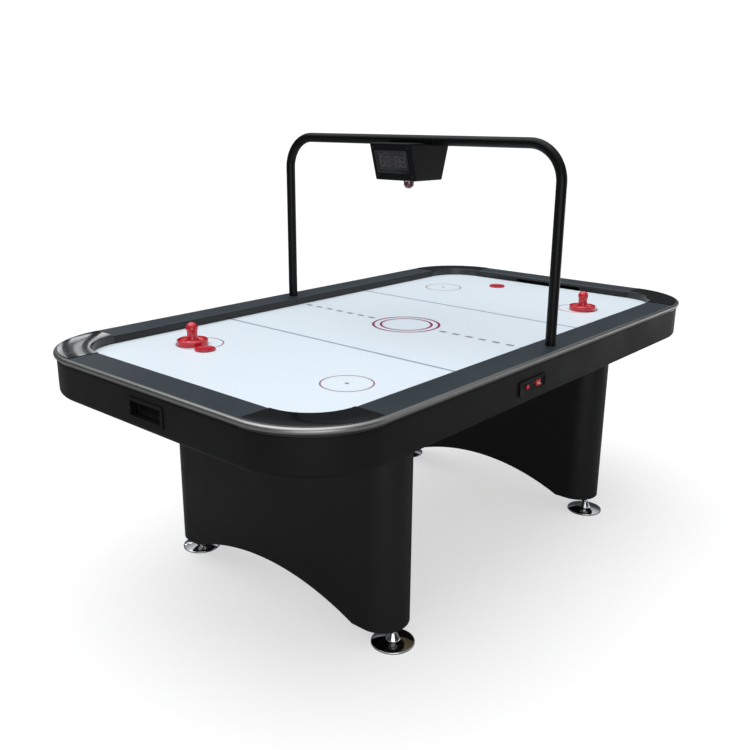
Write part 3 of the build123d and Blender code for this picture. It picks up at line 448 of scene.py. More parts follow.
def drift_group():
    """Slow change of tone over a large surface: the colour is pulled a little darker and lighter by
    noise."""
    tree, take, give = new_group(
        "tone_drift",
        [
            ("Vector", "Vector", None),
            ("Color", "Colour", None),
            ("Float", "Amount", 0.1),
            ("Float", "Scale", 3.0),
        ],
        [("Color", "Colour")],
    )
    field = noise_node(tree, take.outputs["Vector"], take.outputs["Scale"], 3.0)
    swing = math_node(tree, "SUBTRACT", field, 0.5)
    gain = math_node(tree, "MULTIPLY_ADD", swing, take.outputs["Amount"], 1.0)
    scale = tree.nodes.new("ShaderNodeVectorMath")
    scale.operation = "SCALE"
    tree.links.new(take.outputs["Colour"], scale.inputs[0])
    tree.links.new(gain, scale.inputs["Scale"])
    tree.links.new(scale.outputs[0], give.inputs["Colour"])
    return tree


def smudge_group():
    """Handled gloss: roughness rises in soft cloudy patches with a few fine streaks."""
    tree, take, give = new_group(
        "smudges",
        [
            ("Vector", "Vector", None),
            ("Float", "Clean", 0.2),
            ("Float", "Dulled", 0.3),
            ("Float", "Scale", 6.0),
        ],
        [("Float", "Roughness")],
    )
    cloud = noise_node(tree, take.outputs["Vector"], take.outputs["Scale"], 5.0, 0.6)
    spread = tree.nodes.new("ShaderNodeMapRange")
    spread.inputs["From Min"].default_value = 0.35
    spread.inputs["From Max"].default_value = 0.7
    tree.links.new(cloud, spread.inputs["Value"])
    tree.links.new(take.outputs["Clean"], spread.inputs["To Min"])
    tree.links.new(take.outputs["Dulled"], spread.inputs["To Max"])
    tree.links.new(spread.outputs["Result"], give.inputs["Roughness"])
    return tree


def grain_group():
    """Fine skin of a moulding, paint or laminate: two sizes of noise added as a height."""
    tree, take, give = new_group(
        "fine_grain", [("Vector", "Vector", None), ("Float", "Scale", 500.0)], [("Float", "Height")]
    )
    fine = noise_node(tree, take.outputs["Vector"], take.outputs["Scale"], 2.0)
    wide = noise_node(
        tree, take.outputs["Vector"], math_node(tree, "MULTIPLY", take.outputs["Scale"], 0.12), 1.0
    )
    tree.links.new(math_node(tree, "MULTIPLY_ADD", wide, 0.6, fine), give.inputs["Height"])
    return tree


def dust_group():
    """Pale dust that settles on faces turned up: share = how level the face is, times noise."""
    tree, take, give = new_group(
        "settled_dust",
        [("Vector", "Vector", None), ("Color", "Colour", None), ("Float", "Amount", 0.05)],
        [("Color", "Colour")],
    )
    facing = tree.nodes.new("ShaderNodeNewGeometry")
    split = tree.nodes.new("ShaderNodeSeparateXYZ")
    tree.links.new(facing.outputs["Normal"], split.inputs[0])
    level = math_node(tree, "POWER", math_node(tree, "MAXIMUM", split.outputs["Z"], 0.0), 4.0)
    specks = noise_node(tree, take.outputs["Vector"], 60.0, 6.0, 0.7)
    share = math_node(tree, "MULTIPLY", math_node(tree, "MULTIPLY", level, specks), take.outputs["Amount"])
    tree.links.new(
        mix_colour(tree, share, take.outputs["Colour"], (0.62, 0.61, 0.58, 1.0)), give.inputs["Colour"]
    )
    return tree


def draw_lines_group():
    """Lines left along drawn or rolled metal: noise squeezed across the run and stretched along it."""
    tree, take, give = new_group(
        "draw_lines",
        [("Vector", "Vector", None), ("Float", "Clean", 0.12), ("Float", "Dulled", 0.25),
         ("Float", "Along", 3.0), ("Float", "Across", 1500.0)],
        [("Float", "Roughness"), ("Float", "Height")],
    )
    split = tree.nodes.new("ShaderNodeSeparateXYZ")
    join = tree.nodes.new("ShaderNodeCombineXYZ")
    tree.links.new(take.outputs["Vector"], split.inputs[0])
    tree.links.new(math_node(tree, "MULTIPLY", split.outputs["X"], take.outputs["Along"]), join.inputs["X"])
    tree.links.new(
        math_node(tree, "MULTIPLY", split.outputs["Y"], take.outputs["Across"]), join.inputs["Y"]
    )
    tree.links.new(
        math_node(tree, "MULTIPLY", split.outputs["Z"], take.outputs["Across"]), join.inputs["Z"]
    )
    lines = noise_node(tree, join.outputs[0], 1.0, 3.0, 0.6)
    spread = tree.nodes.new("ShaderNodeMapRange")
    tree.links.new(lines, spread.inputs["Value"])
    tree.links.new(take.outputs["Clean"], spread.inputs["To Min"])
    tree.links.new(take.outputs["Dulled"], spread.inputs["To Max"])
    tree.links.new(spread.outputs["Result"], give.inputs["Roughness"])
    tree.links.new(lines, give.inputs["Height"])
    return tree


GROUPS = {
    "drift": drift_group(),
    "smudges": smudge_group(),
    "grain": grain_group(),
    "dust": dust_group(),
    "lines": draw_lines_group(),
}


# ---- materials


def colour(red, green, blue):
    """Linear colour from display values of 0 to 255."""
    channels = [c / 255 for c in (red, green, blue)]
    return tuple(c / 12.92 if c <= 0.04045 else ((c + 0.055) / 1.055) ** 2.4 for c in channels) + (1.0,)


def start_material(name, **sockets):
    """Material with its constants on the shader's own sockets; gives it, its tree, shader and object
    coordinates."""
    material = bpy.data.materials.new(name)
    material.use_nodes = True
    tree = material.node_tree
    shader = tree.nodes["Principled BSDF"]
    for label, value in sockets.items():
        shader.inputs[label.replace("_", " ")].default_value = value
    place = tree.nodes.new("ShaderNodeTexCoord")
    return material, tree, shader, place.outputs["Object"]


def use_group(tree, group, vector, **values):
    """Places a shared group in a material with its own values."""
    node = tree.nodes.new("ShaderNodeGroup")
    node.node_tree = GROUPS[group]
    tree.links.new(vector, node.inputs["Vector"])
    for label, value in values.items():
        if isinstance(value, (int, float, tuple)):
            node.inputs[label].default_value = value
        else:
            tree.links.new(value, node.inputs[label])
    return node.outputs


def add_bump(tree, shader, height, depth):
    """Fine relief of a given depth, in metres, on a shader."""
    bump = tree.nodes.new("ShaderNodeBump")
    bump.inputs["Distance"].default_value = depth
    bump.inputs["Strength"].default_value = 1.0
    tree.links.new(height, bump.inputs["Height"])
    tree.links.new(bump.outputs["Normal"], shader.inputs["Normal"])


def surface(
    name, base, clean, dulled, drift=0.12, drift_scale=3.0, grain=600.0, depth=0.00004, dust=0.03, **sockets
):
    """Painted, laminated or moulded surface: drifting tone, dust, cloudy gloss and a fine skin."""
    material, tree, shader, place = start_material(name, **sockets)
    tone = use_group(tree, "drift", place, Colour=base, Amount=drift, Scale=drift_scale)["Colour"]
    tone = use_group(tree, "dust", place, Colour=tone, Amount=dust)["Colour"]
    tree.links.new(tone, shader.inputs["Base Color"])
    rough = use_group(tree, "smudges", place, Clean=clean, Dulled=dulled)["Roughness"]
    tree.links.new(rough, shader.inputs["Roughness"])
    add_bump(tree, shader, use_group(tree, "grain", place, Scale=grain)["Height"], depth)
    return material


def metal(name, base, clean, dulled, along=3.0, across=1500.0, depth=0.00001, uv=True, **sockets):
    """Bare metal with draw lines that follow the piece's own run, or its X direction."""
    material, tree, shader, place = start_material(name, Metallic=1.0, **sockets)
    if uv:
        place = tree.nodes.new("ShaderNodeTexCoord").outputs["UV"]
    lines = use_group(tree, "lines", place, Clean=clean, Dulled=dulled, Along=along, Across=across)
    tone = use_group(tree, "drift", place, Colour=base, Amount=0.15, Scale=4.0)["Colour"]
    tree.links.new(tone, shader.inputs["Base Color"])
    tree.links.new(lines["Roughness"], shader.inputs["Roughness"])
    add_bump(tree, shader, lines["Height"], depth)
    return material


HOLE_PITCH = 25.4 * MM
HOLE_RADIUS = 0.7 * MM
# painted shade: grey of each air hole, standing in for the shade inside the hole
HOLE_SHADE_TONE = (0.3, 0.32, 0.34, 1.0)
FIELD_TONE = colour(229, 240, 248)


def playfield_laminate():
    """Cool white laminate drilled with rows of air holes: a hole is where both coordinates are near a row,
    and is painted grey there as the shade inside it."""
    material, tree, shader, place = start_material("playfield_laminate", Specular_IOR_Level=0.42)
    split = tree.nodes.new("ShaderNodeSeparateXYZ")
    tree.links.new(place, split.inputs[0])
    reach = []
    for axis in "XY":
        row = math_node(
            tree, "FRACT", math_node(tree, "MULTIPLY_ADD", split.outputs[axis], 1 / HOLE_PITCH, 0.5)
        )
        reach.append(math_node(tree, "SUBTRACT", row, 0.5))
    square = math_node(
        tree, "MULTIPLY_ADD", reach[0], reach[0], math_node(tree, "MULTIPLY", reach[1], reach[1])
    )
    inside = math_node(tree, "LESS_THAN", square, (HOLE_RADIUS / HOLE_PITCH) ** 2)
    top = math_node(tree, "GREATER_THAN", split.outputs["Z"], PLAY_Z - 0.5 * MM)
    # painted shade: the hole mask puts the grey of the hole's inner shade on the top face
    hole_shade = math_node(tree, "MULTIPLY", inside, top)
    tone = use_group(tree, "drift", place, Colour=FIELD_TONE, Amount=0.05, Scale=1.2)["Colour"]
    tree.links.new(mix_colour(tree, hole_shade, tone, HOLE_SHADE_TONE), shader.inputs["Base Color"])
    rough = use_group(tree, "smudges", place, Clean=0.3, Dulled=0.31, Scale=1.6)["Roughness"]
    tree.links.new(rough, shader.inputs["Roughness"])
    add_bump(tree, shader, use_group(tree, "grain", place, Scale=700.0)["Height"], 0.000004)
    return material


RAIL_FACE = colour(19, 35, 44)
RAIL_LIP = (0.0035, 0.004, 0.0045, 1.0)


def rail_laminate():
    """Dark blue-grey laminate on the faces that look up, and a black lip where the board turns down."""
    material, tree, shader, place = start_material("rail_laminate", Specular_IOR_Level=0.5)
    tone = use_group(tree, "drift", place, Colour=RAIL_FACE, Amount=0.12, Scale=3.0)["Colour"]
    tone = use_group(tree, "dust", place, Colour=tone, Amount=0.03)["Colour"]
    facing = tree.nodes.new("ShaderNodeSeparateXYZ")
    tree.links.new(tree.nodes.new("ShaderNodeTexCoord").outputs["Normal"], facing.inputs[0])
    upright = math_node(tree, "LESS_THAN", facing.outputs["Z"], 0.6)
    tree.links.new(mix_colour(tree, upright, tone, RAIL_LIP), shader.inputs["Base Color"])
    rough = use_group(tree, "smudges", place, Clean=0.4, Dulled=0.48)["Roughness"]
    tree.links.new(rough, shader.inputs["Roughness"])
    add_bump(tree, shader, use_group(tree, "grain", place, Scale=900.0)["Height"], 0.00003)
    return material


def print_ink(name, base):
    """Printed ink: flat colour broken by tiny pinholes."""
    return surface(
        name, base, 0.3, 0.42, drift=0.2, drift_scale=900.0, grain=900.0, depth=0.00001, dust=0.0
    )


def bare_board():
    """Pressed fibre board: pale brown with long fibres seen as squeezed noise."""
    material, tree, shader, place = start_material("bare_fibreboard", Specular_IOR_Level=0.2)
    fibres = use_group(tree, "lines", place, Clean=0.0, Dulled=1.0, Along=60.0, Across=420.0)
    tone = mix_colour(tree, fibres["Height"], colour(178, 156, 122), colour(216, 198, 164))
    tone = use_group(tree, "drift", place, Colour=tone, Amount=0.25, Scale=5.0)["Colour"]
    tree.links.new(tone, shader.inputs["Base Color"])
    rough = use_group(tree, "smudges", place, Clean=0.7, Dulled=0.9)["Roughness"]
    tree.links.new(rough, shader.inputs["Roughness"])
    add_bump(tree, shader, fibres["Height"], 0.0001)
    return material


def smoked_lens():
    """Smoked acrylic over the digits."""
    material, tree, shader, place = start_material(
        "smoked_acrylic", Transmission_Weight=1.0, IOR=1.49, Specular_IOR_Level=0.5
    )
    tone = use_group(
        tree, "drift", place, Colour=(0.55, 0.53, 0.55, 1.0), Amount=0.06, Scale=20.0
    )["Colour"]
    tree.links.new(tone, shader.inputs["Base Color"])
    rough = use_group(tree, "smudges", place, Clean=0.02, Dulled=0.08, Scale=25.0)["Roughness"]
    tree.links.new(rough, shader.inputs["Roughness"])
    return material


def make_materials():
    """Every finish of the table by the name of its material slot."""
    black = (0.0055, 0.0058, 0.006, 1.0)
    return {
        "playfield_laminate": playfield_laminate(),
        "rail_laminate": rail_laminate(),
        "cap_plastic": surface(
            "cap_gloss_black", black, 0.08, 0.16, grain=260.0, depth=0.00001, dust=0.0, Coat_Weight=0.3,
            Coat_Roughness=0.05, Specular_IOR_Level=0.5
        ),
        "edge_metal": metal(
            "edge_bright_metal", (0.3, 0.3, 0.29, 1.0), 0.3, 0.42, across=300.0, depth=0.000002
        ),
        "skirt_board": surface(
            "skirt_satin_black", (0.0064, 0.0066, 0.0064, 1.0), 0.46, 0.56, grain=800.0, dust=0.0,
            Specular_IOR_Level=0.16
        ),
        "leg_board": surface(
            "leg_satin_black", (0.013, 0.0132, 0.0132, 1.0), 0.42, 0.52, grain=800.0, dust=0.0,
            Specular_IOR_Level=0.22
        ),
        "bare_board": bare_board(),
        "chute_plastic": surface(
            "chute_formed_black", (0.02, 0.02, 0.02, 1.0), 0.5, 0.62, grain=300.0, depth=0.00012
        ),
        "bezel_plastic": surface(
            "bezel_moulded_black", black, 0.36, 0.46, grain=1400.0, depth=0.00006, dust=0.0,
            Specular_IOR_Level=0.1
        ),
        "sensor_plastic": surface("sensor_moulded_grey", (0.03, 0.03, 0.035, 1.0), 0.4, 0.5),
        "bolt_steel": metal("bolt_zinc_plate", (0.55, 0.55, 0.53, 1.0), 0.25, 0.45, uv=False),
        "foot_chrome": metal(
            "foot_chrome_plate", (0.78, 0.79, 0.8, 1.0), 0.03, 0.08, along=2.0, across=900.0
        ),
        "blower_plastic": surface(
            "blower_filled_black", (0.012, 0.012, 0.012, 1.0), 0.45, 0.6, grain=500.0, depth=0.0001
        ),
        "motor_metal": surface(
            "motor_grey_enamel", (0.14, 0.15, 0.16, 1.0), 0.3, 0.45, grain=300.0, depth=0.00008
        ),
        "arch_paint": surface(
            "arch_gloss_black", (0.0042, 0.0044, 0.0046, 1.0), 0.26, 0.36, grain=350.0, depth=0.00003,
            dust=0.0, Specular_IOR_Level=0.14
        ),
        "sleeve_steel": metal("sleeve_plain_steel", (0.5, 0.5, 0.5, 1.0), 0.3, 0.45, uv=False),
        "socket_plastic": surface(
            "socket_filled_nylon", (0.012, 0.012, 0.012, 1.0), 0.45, 0.6, grain=500.0
        ),
        "scorer_plastic": surface(
            "scorer_moulded_black", (0.004, 0.0042, 0.0046, 1.0), 0.34, 0.46, grain=1300.0, depth=0.00005,
            dust=0.0, Specular_IOR_Level=0.1
        ),
        "smoked_lens": smoked_lens(),
        "digit_plastic": surface("digit_board", (0.008, 0.012, 0.009, 1.0), 0.4, 0.5),
        "lamp_plastic": surface(
            "lamp_dark_red", (0.07, 0.004, 0.005, 1.0), 0.06, 0.12, grain=200.0, depth=0.00001,
            Coat_Weight=0.6, Coat_Roughness=0.04
        ),
        "switch_red": surface(
            "switch_gloss_red", colour(196, 26, 38), 0.14, 0.22, grain=900.0, depth=0.00001, dust=0.0,
            Coat_Weight=0.3
        ),
        "circuit_board": surface("board_green_mask", (0.02, 0.12, 0.05, 1.0), 0.25, 0.35, grain=700.0),
        "jack_plastic": surface("jack_matte_black", black, 0.5, 0.6, grain=900.0),
        "striker_red": surface(
            "striker_gloss_red", colour(198, 24, 42), 0.14, 0.24, drift=0.1, grain=500.0, depth=0.00002,
            dust=0.03, Coat_Weight=0.35, Coat_Roughness=0.12
        ),
        "puck_red": surface(
            "puck_gloss_red", colour(186, 24, 46), 0.16, 0.3, drift=0.1, grain=500.0, depth=0.00002,
            dust=0.02, Coat_Weight=0.25, Coat_Roughness=0.15
        ),
    }


MATERIALS = make_materials()
INK_RED = print_ink("ink_red", colour(142, 36, 84))
INK_MAUVE = print_ink("ink_mauve", colour(152, 110, 126))
INK_BLUE = print_ink("ink_blue", colour(150, 165, 180))
INK_GREY = print_ink("ink_grey", colour(134, 130, 148))
SEGMENT_GREY = surface("segment_unlit", (0.34, 0.33, 0.35, 1.0), 0.4, 0.5, grain=900.0)
LED_RED = surface("indicator_red", (0.5, 0.01, 0.01, 1.0), 0.1, 0.18, grain=500.0, Coat_Weight=0.5)
SCREW_BLACK = metal("screw_blacked", (0.05, 0.05, 0.052, 1.0), 0.3, 0.45, along=200.0, across=200.0)

# ---- table top pieces

PRINT_HEIGHT = 0.12 * MM


def flat_ring(middle, outer, inner, steps=128):
    """Thin printed ring: a rectangle of radius and height carried round a circle."""
    low, high = PLAY_Z, PLAY_Z + PRINT_HEIGHT
    profile = np.array([[inner, low], [outer, low], [outer, high], [inner, high], [inner, low]])
    return turned(profile, (*middle, 0.0), steps)


def flat_disc(middle, radius, steps=48):
    """Thin printed dot."""
    high = PLAY_Z + PRINT_HEIGHT
    return turned([(0, PLAY_Z), (radius, PLAY_Z), (radius, high), (0, high)], (*middle, 0.0), steps)


def flat_bar(x_span, y_span):
    """Thin printed bar."""
    loop = [(x_span[0], y_span[0]), (x_span[1], y_span[0]), (x_span[1], y_span[1]), (x_span[0], y_span[1])]
    loop = np.array(loop)
    levels = [np.column_stack([loop, np.full(4, z)]) for z in (PLAY_Z, PLAY_Z + PRINT_HEIGHT)]
    return grid_patch(np.stack(levels))


FACE_OFF_X, FACE_OFF_Y = 0.640, 0.312
FACE_OFF_RADIUS = 0.075
CROSS_LINE_X = 0.355
CENTRE_RADII = (0.118, 0.092)
CENTRE_RING_WIDTH = 9 * MM
FACE_OFF_RING_WIDTH = 5 * MM
FACE_OFF_DOT = 6.5 * MM
CROSS_LINE_HALF = 5.5 * MM
DASH_PITCH, DASH_LENGTH = 0.052, 0.027
DASH_START = 0.026
DASH_HALF = 7.5 * MM


def add_markings():
    """Printed rings, dots, lines and dashes, each a thin solid on the playfield."""
    edge = HALF_WIDTH - RAIL_INNER
    rings = [flat_ring((0.0, 0.0), radius, radius - CENTRE_RING_WIDTH) for radius in CENTRE_RADII]
    make_piece("centre_rings", rings, "playfield_laminate", INK_RED)
    marks = []
    for end in (-1, 1):
        for side in (-1, 1):
            middle = (end * FACE_OFF_X, side * FACE_OFF_Y)
            marks.append(flat_ring(middle, FACE_OFF_RADIUS, FACE_OFF_RADIUS - FACE_OFF_RING_WIDTH))
            marks.append(flat_disc(middle, FACE_OFF_DOT))
    make_piece("face_off_marks", marks, "playfield_laminate", INK_MAUVE)
    lines = [
        flat_bar((x - CROSS_LINE_HALF, x + CROSS_LINE_HALF), (-edge, edge))
        for x in (-CROSS_LINE_X, CROSS_LINE_X)
    ]
    make_piece("cross_lines", lines, "playfield_laminate", INK_BLUE)
    starts = np.arange(CENTRE_RADII[0] + DASH_START, edge - DASH_LENGTH, DASH_PITCH)
    dashes = [
        flat_bar((-DASH_HALF, DASH_HALF), tuple(sorted((side * start, side * (start + DASH_LENGTH)))))
        for start in starts for side in (-1, 1)
    ]
    make_piece("centre_dashes", dashes, "playfield_laminate", INK_GREY)


RAIL_ROUNDS = (0, 0.6 * MM, 4 * MM, 0)
CAP_ROUNDS = (0, 2.0 * MM, 2.5 * MM, 0)
EDGE_BACK_ROUND = 0.3 * MM


def add_rails():
    """Rails, caps and bright edge: outlines of (inset, height) carried along the sides and round the
    corners."""
    rail = rounded(
        [(RAIL_OUTER, PLAY_Z), (RAIL_OUTER, RAIL_TOP), (RAIL_INNER, RAIL_TOP), (RAIL_INNER, PLAY_Z)],
        RAIL_ROUNDS, 8
    )
    for name, side in SIDES.items():
        grid = carried(*side_path(side), rail)
        make_piece(f"{name}_rail_board", [grid_patch(grid)], "rail_laminate", replaces=(f"{name}_rail",))
    for name in ENDS:
        smooth_shell(f"{name}_rail")
    cap = rounded(
        [(RAIL_OUTER, PLAY_Z), (RAIL_OUTER, CAP_TOP), (RAIL_INNER, CAP_TOP), (RAIL_INNER, PLAY_Z)],
        CAP_ROUNDS, 8
    )
    for end_name, end in ENDS.items():
        for side_name, side in SIDES.items():
            node = f"{end_name}_{side_name}_corner_cap"
            grid = carried(*corner_path(end, side), cap)
            make_piece(f"{node}_moulding", [grid_patch(grid)], "cap_plastic", replaces=(node,))
    nose = (TRIM_TOP - TRIM_LOW) / 2 - 0.5 * MM
    strip = rounded(
        [(0, TRIM_LOW), (0, TRIM_TOP), (RAIL_OUTER, TRIM_TOP), (RAIL_OUTER, TRIM_LOW)],
        [nose, nose, EDGE_BACK_ROUND, EDGE_BACK_ROUND], 12
    )
    base, outward = round_path()
    ring = grid_patch(carried(base, outward, strip), rows_join=True, capped=False)
    make_piece("bright_edge_strip", [ring], "edge_metal", replaces=("edge_trim",))


SKIRT_ROUND = 15 * MM


def add_skirt():
    """Skirt: straight boards keep their cut-outs, and corners are an outline carried round each arc."""
    outline = rounded(
        [(SKIRT_INSET, SKIRT_LOW), (SKIRT_INSET, PLAY_Z), (SKIRT_INSET + SKIRT_DEPTH, PLAY_Z),
         (SKIRT_INSET + SKIRT_DEPTH, SKIRT_LOW)],
        [SKIRT_ROUND, 0, 0, 0], 12
    )
    for end_name, end in ENDS.items():
        smooth_shell(f"{end_name}_apron")
        for side_name, side in SIDES.items():
            grid = carried(*corner_path(end, side), outline)
            name = f"{end_name}_{side_name}_skirt_corner"
            make_piece(name, [grid_patch(grid)], "skirt_board", replaces=("apron_corners",))
    for side_name in SIDES:
        smooth_shell(f"{side_name}_apron")


# ---- screws

SCREW_RADIUS = 2.6 * MM
SCREW_CROWN = 1.3 * MM
SCREW_SHANK = 0.6 * MM
RECESS_HALF = 0.4 * MM
RECESS_DEPTH = 0.6 * MM
RECESS_REACH = 0.62
SCREW_CREASE = 50


def screw_head(place, out):
    """Low domed head with a cross recess sunk in its crown: height falls with radius, and dips along two
    lines."""
    rings, spokes = 14, 48
    radius = np.linspace(0.0, 1.0, rings)[None, :] * SCREW_RADIUS
    angle = np.linspace(0, 2 * math.pi, spokes, endpoint=False)[:, None]
    x, y = radius * np.cos(angle), radius * np.sin(angle)
    crown = SCREW_CROWN * (1 - (radius / SCREW_RADIUS) ** 2.4) * np.ones_like(angle)
    arm = np.minimum(np.abs(x), np.abs(y))
    recess = (arm < RECESS_HALF) & (radius < RECESS_REACH * SCREW_RADIUS)
    top = np.stack([x, y, crown - recess * RECESS_DEPTH], -1)
    under = np.stack([x[:, -1:], y[:, -1:], np.full((spokes, 1), -SCREW_SHANK)], -1)
    foot = np.broadcast_to(np.array([0.0, 0.0, -SCREW_SHANK]), (spokes, 1, 3))
    patch = grid_patch(np.concatenate([top, under, foot], 1), rows_join=True, cols_join=False, capped=False)
    turn = Vector(out).to_track_quat("Z", "Y").to_matrix()
    return tilted(patch, turn, place)


# ---- goals, legs and levellers


RETURN_SCREW_INSET = 5.5 * MM


def add_goal_ends():
    """Return frames with a screw at either side, and the chutes behind them."""
    for name, end in ENDS.items():
        smooth_shell(f"{name}_return_frame")
        smooth_shell(f"{name}_goal_box")
        low, high = box(f"{name}_return_frame")
        face = high[0] if end > 0 else low[0]
        middle_z = (low[2] + high[2]) / 2
        reach = (high[1] - low[1]) / 2 - RETURN_SCREW_INSET
        heads = [screw_head((face, side * reach, middle_z), (end, 0, 0)) for side in (-1, 1)]
        make_piece(f"{name}_return_screws", heads, "bolt_steel", SCREW_BLACK, crease=SCREW_CREASE)


LEG_END_WALL = 12 * MM
LEG_FOOT_BAND = 0.8 * MM


def add_legs():
    """Leg ends: the plan outline of a half-round shell raised from foot to top."""
    for name in ENDS:
        low, high = box(f"{name}_leg_ends")
        radius = (high[0] - low[0]) / 2
        middle_x = (high[0] + low[0]) / 2
        for side_name, side in SIDES.items():
            middle_y = side * (high[1] - radius)
            outer = arc_points((middle_x, middle_y), radius, 0, 180 * side, 48)
            inner = arc_points((middle_x, middle_y), radius - LEG_END_WALL, 180 * side, 0, 48)
            loop = np.concatenate([outer, inner])
            levels = [low[2], low[2] + LEG_FOOT_BAND, high[2]]
            grid = np.stack([np.column_stack([loop, np.full(len(loop), z)]) for z in levels])
            piece = f"{name}_{side_name}_leg_end"
            make_piece(piece, [grid_patch(grid)], "leg_board", replaces=(f"{name}_leg_ends",))


THREAD_PITCH = 2.0 * MM
THREAD_DEPTH = 0.9 * MM
STEM_RADIUS = 8 * MM
HUB_TOP = 34 * MM


def add_levellers():
    """Levellers: a low lip, a shallow dome, a cone and a threaded stem, turned about an upright axis."""
    for end_name in ENDS:
        for side_name in SIDES:
            node = f"{end_name}_{side_name}_leveller"
            low, high = box(node)
            radius = (high[0] - low[0]) / 2
            turns = int((high[2] - HUB_TOP - 2 * MM) / THREAD_PITCH)
            level = HUB_TOP + np.arange(2 * turns) * THREAD_PITCH / 2
            depth = np.where(np.arange(2 * turns) % 2, 0.0, THREAD_DEPTH)
            thread = np.column_stack([STEM_RADIUS - depth, level])
            lip = arc_points((radius - 2 * MM, 4 * MM), 2 * MM, 0, 90, 8)
            profile = np.concatenate([
                [(0, 0), (radius - 1 * MM, 0), (radius, 1 * MM)],
                lip,
                bezier(
                    (radius - 3 * MM, 5.6 * MM), (radius * 0.8, 8.5 * MM), (30 * MM, 12 * MM),
                    (22 * MM, 13 * MM)
                ),
                bezier(
                    (21.5 * MM, 13.4 * MM), (19 * MM, 18 * MM), (14 * MM, 28 * MM), (12 * MM, 33 * MM), 8
                ),
                [(11.5 * MM, HUB_TOP), (STEM_RADIUS, HUB_TOP)],
                thread,
                [(STEM_RADIUS - 1 * MM, high[2]), (0, high[2])],
            ])
            x, y, _ = centre(node)
            foot = turned(profile, (x, y, 0.0), 112)
            make_piece(f"{node}_turning", [foot], "foot_chrome", replaces=(node,), crease=28)


# ---- arch and scorer

ARCH_BEND = 0.110
TUBE_STEPS = 56


def add_arch():
    """Arch tubes: a circle carried up the post, round the bend and along half of the crossbar."""
    for name, side in SIDES.items():
        low, high = box(f"{name}_arch_tube")
        radius = high[0]
        post_y = (high[1] if side > 0 else -low[1]) - radius
        bar_z = high[2] - radius
        angle = np.radians(np.linspace(0, 90, 33))
        bend_y = post_y - ARCH_BEND + ARCH_BEND * np.cos(angle)
        bend_z = bar_z - ARCH_BEND + ARCH_BEND * np.sin(angle)
        reach = np.concatenate([[post_y], bend_y, [0.0]])
        height = np.concatenate([[low[2]], bend_z, [bar_z]])
        lean = np.concatenate([[0.0], angle, [math.pi / 2]])
        turn = np.linspace(0, 2 * math.pi, TUBE_STEPS, endpoint=False)
        x = np.broadcast_to(radius * np.cos(turn), (len(reach), TUBE_STEPS))
        y = reach[:, None] + radius * np.sin(turn) * np.cos(lean)[:, None]
        z = height[:, None] + radius * np.sin(turn) * np.sin(lean)[:, None]
        tube = grid_patch(np.stack([x, side * y, z], -1))
        make_piece(f"{name}_arch_post", [tube], "arch_paint", replaces=(f"{name}_arch_tube",))


DIGIT_SIZE = (17 * MM, 32 * MM)
DIGIT_PLACES = (-42 * MM, -20 * MM, 20 * MM, 42 * MM)
SEGMENT_WIDTH = 3.2 * MM
SEGMENT_THICKNESS = 0.4 * MM
DOT_RADIUS = 2 * MM
DOT_RISE = 7 * MM
SCORER_SLOPE = 35 * MM
SCORER_HEIGHT = box("scorer_housing")[1][2] - box("scorer_housing")[0][2]
LENS_HEIGHT = 62 * MM
DIGIT_DEPTH = 2.95 * MM
FRAME_HALF = (66 * MM, 37 * MM)
WINDOW_HALF = (59 * MM, 30 * MM)
FRAME_STANDOFF = 1.2 * MM
FRAME_SINK = 0.4 * MM
SCORER_SCREW_RISE = 46 * MM
SCORER_SCREW_SPREAD = 1.17
LAMP_RIM = 2.5 * MM
COLLAR_BORE = 9 * MM
COLLAR_DEPTH = 5 * MM


def segment(middle, length, upright):
    """One bar of a digit: a long hexagon given a thin height."""
    half, wide = length / 2 - 0.5 * MM, SEGMENT_WIDTH / 2
    loop = np.array([
        (-half, 0), (-half + wide, -wide), (half - wide, -wide), (half, 0), (half - wide, wide),
        (-half + wide, wide)
    ])
    loop = loop[:, ::-1] if upright else loop
    loop = loop + np.array(middle)
    return grid_patch(np.stack([np.column_stack([loop, np.full(6, z)]) for z in (0.0, SEGMENT_THICKNESS)]))


def digit(x):
    """The seven bars of a digit."""
    wide, tall = DIGIT_SIZE
    bars = [segment((x, y * tall / 2), wide, False) for y in (-1, 0, 1)]
    bars += [
        segment((x + sx * wide / 2, sy * tall / 4), tall / 2, True) for sx in (-1, 1) for sy in (-1, 1)
    ]
    return bars


def score_dot(middle):
    """Round dot between the two scores."""
    profile = [(0, 0), (DOT_RADIUS, 0), (DOT_RADIUS, SEGMENT_THICKNESS), (0, SEGMENT_THICKNESS)]
    return turned(profile, (*middle, 0.0), 24)


def oblong(half, radius):
    """Outline of a rectangle of given half sizes with rounded corners."""
    x, y = half
    return rounded([(-x, -y), (x, -y), (x, y), (-x, y)], [radius] * 4, 6)


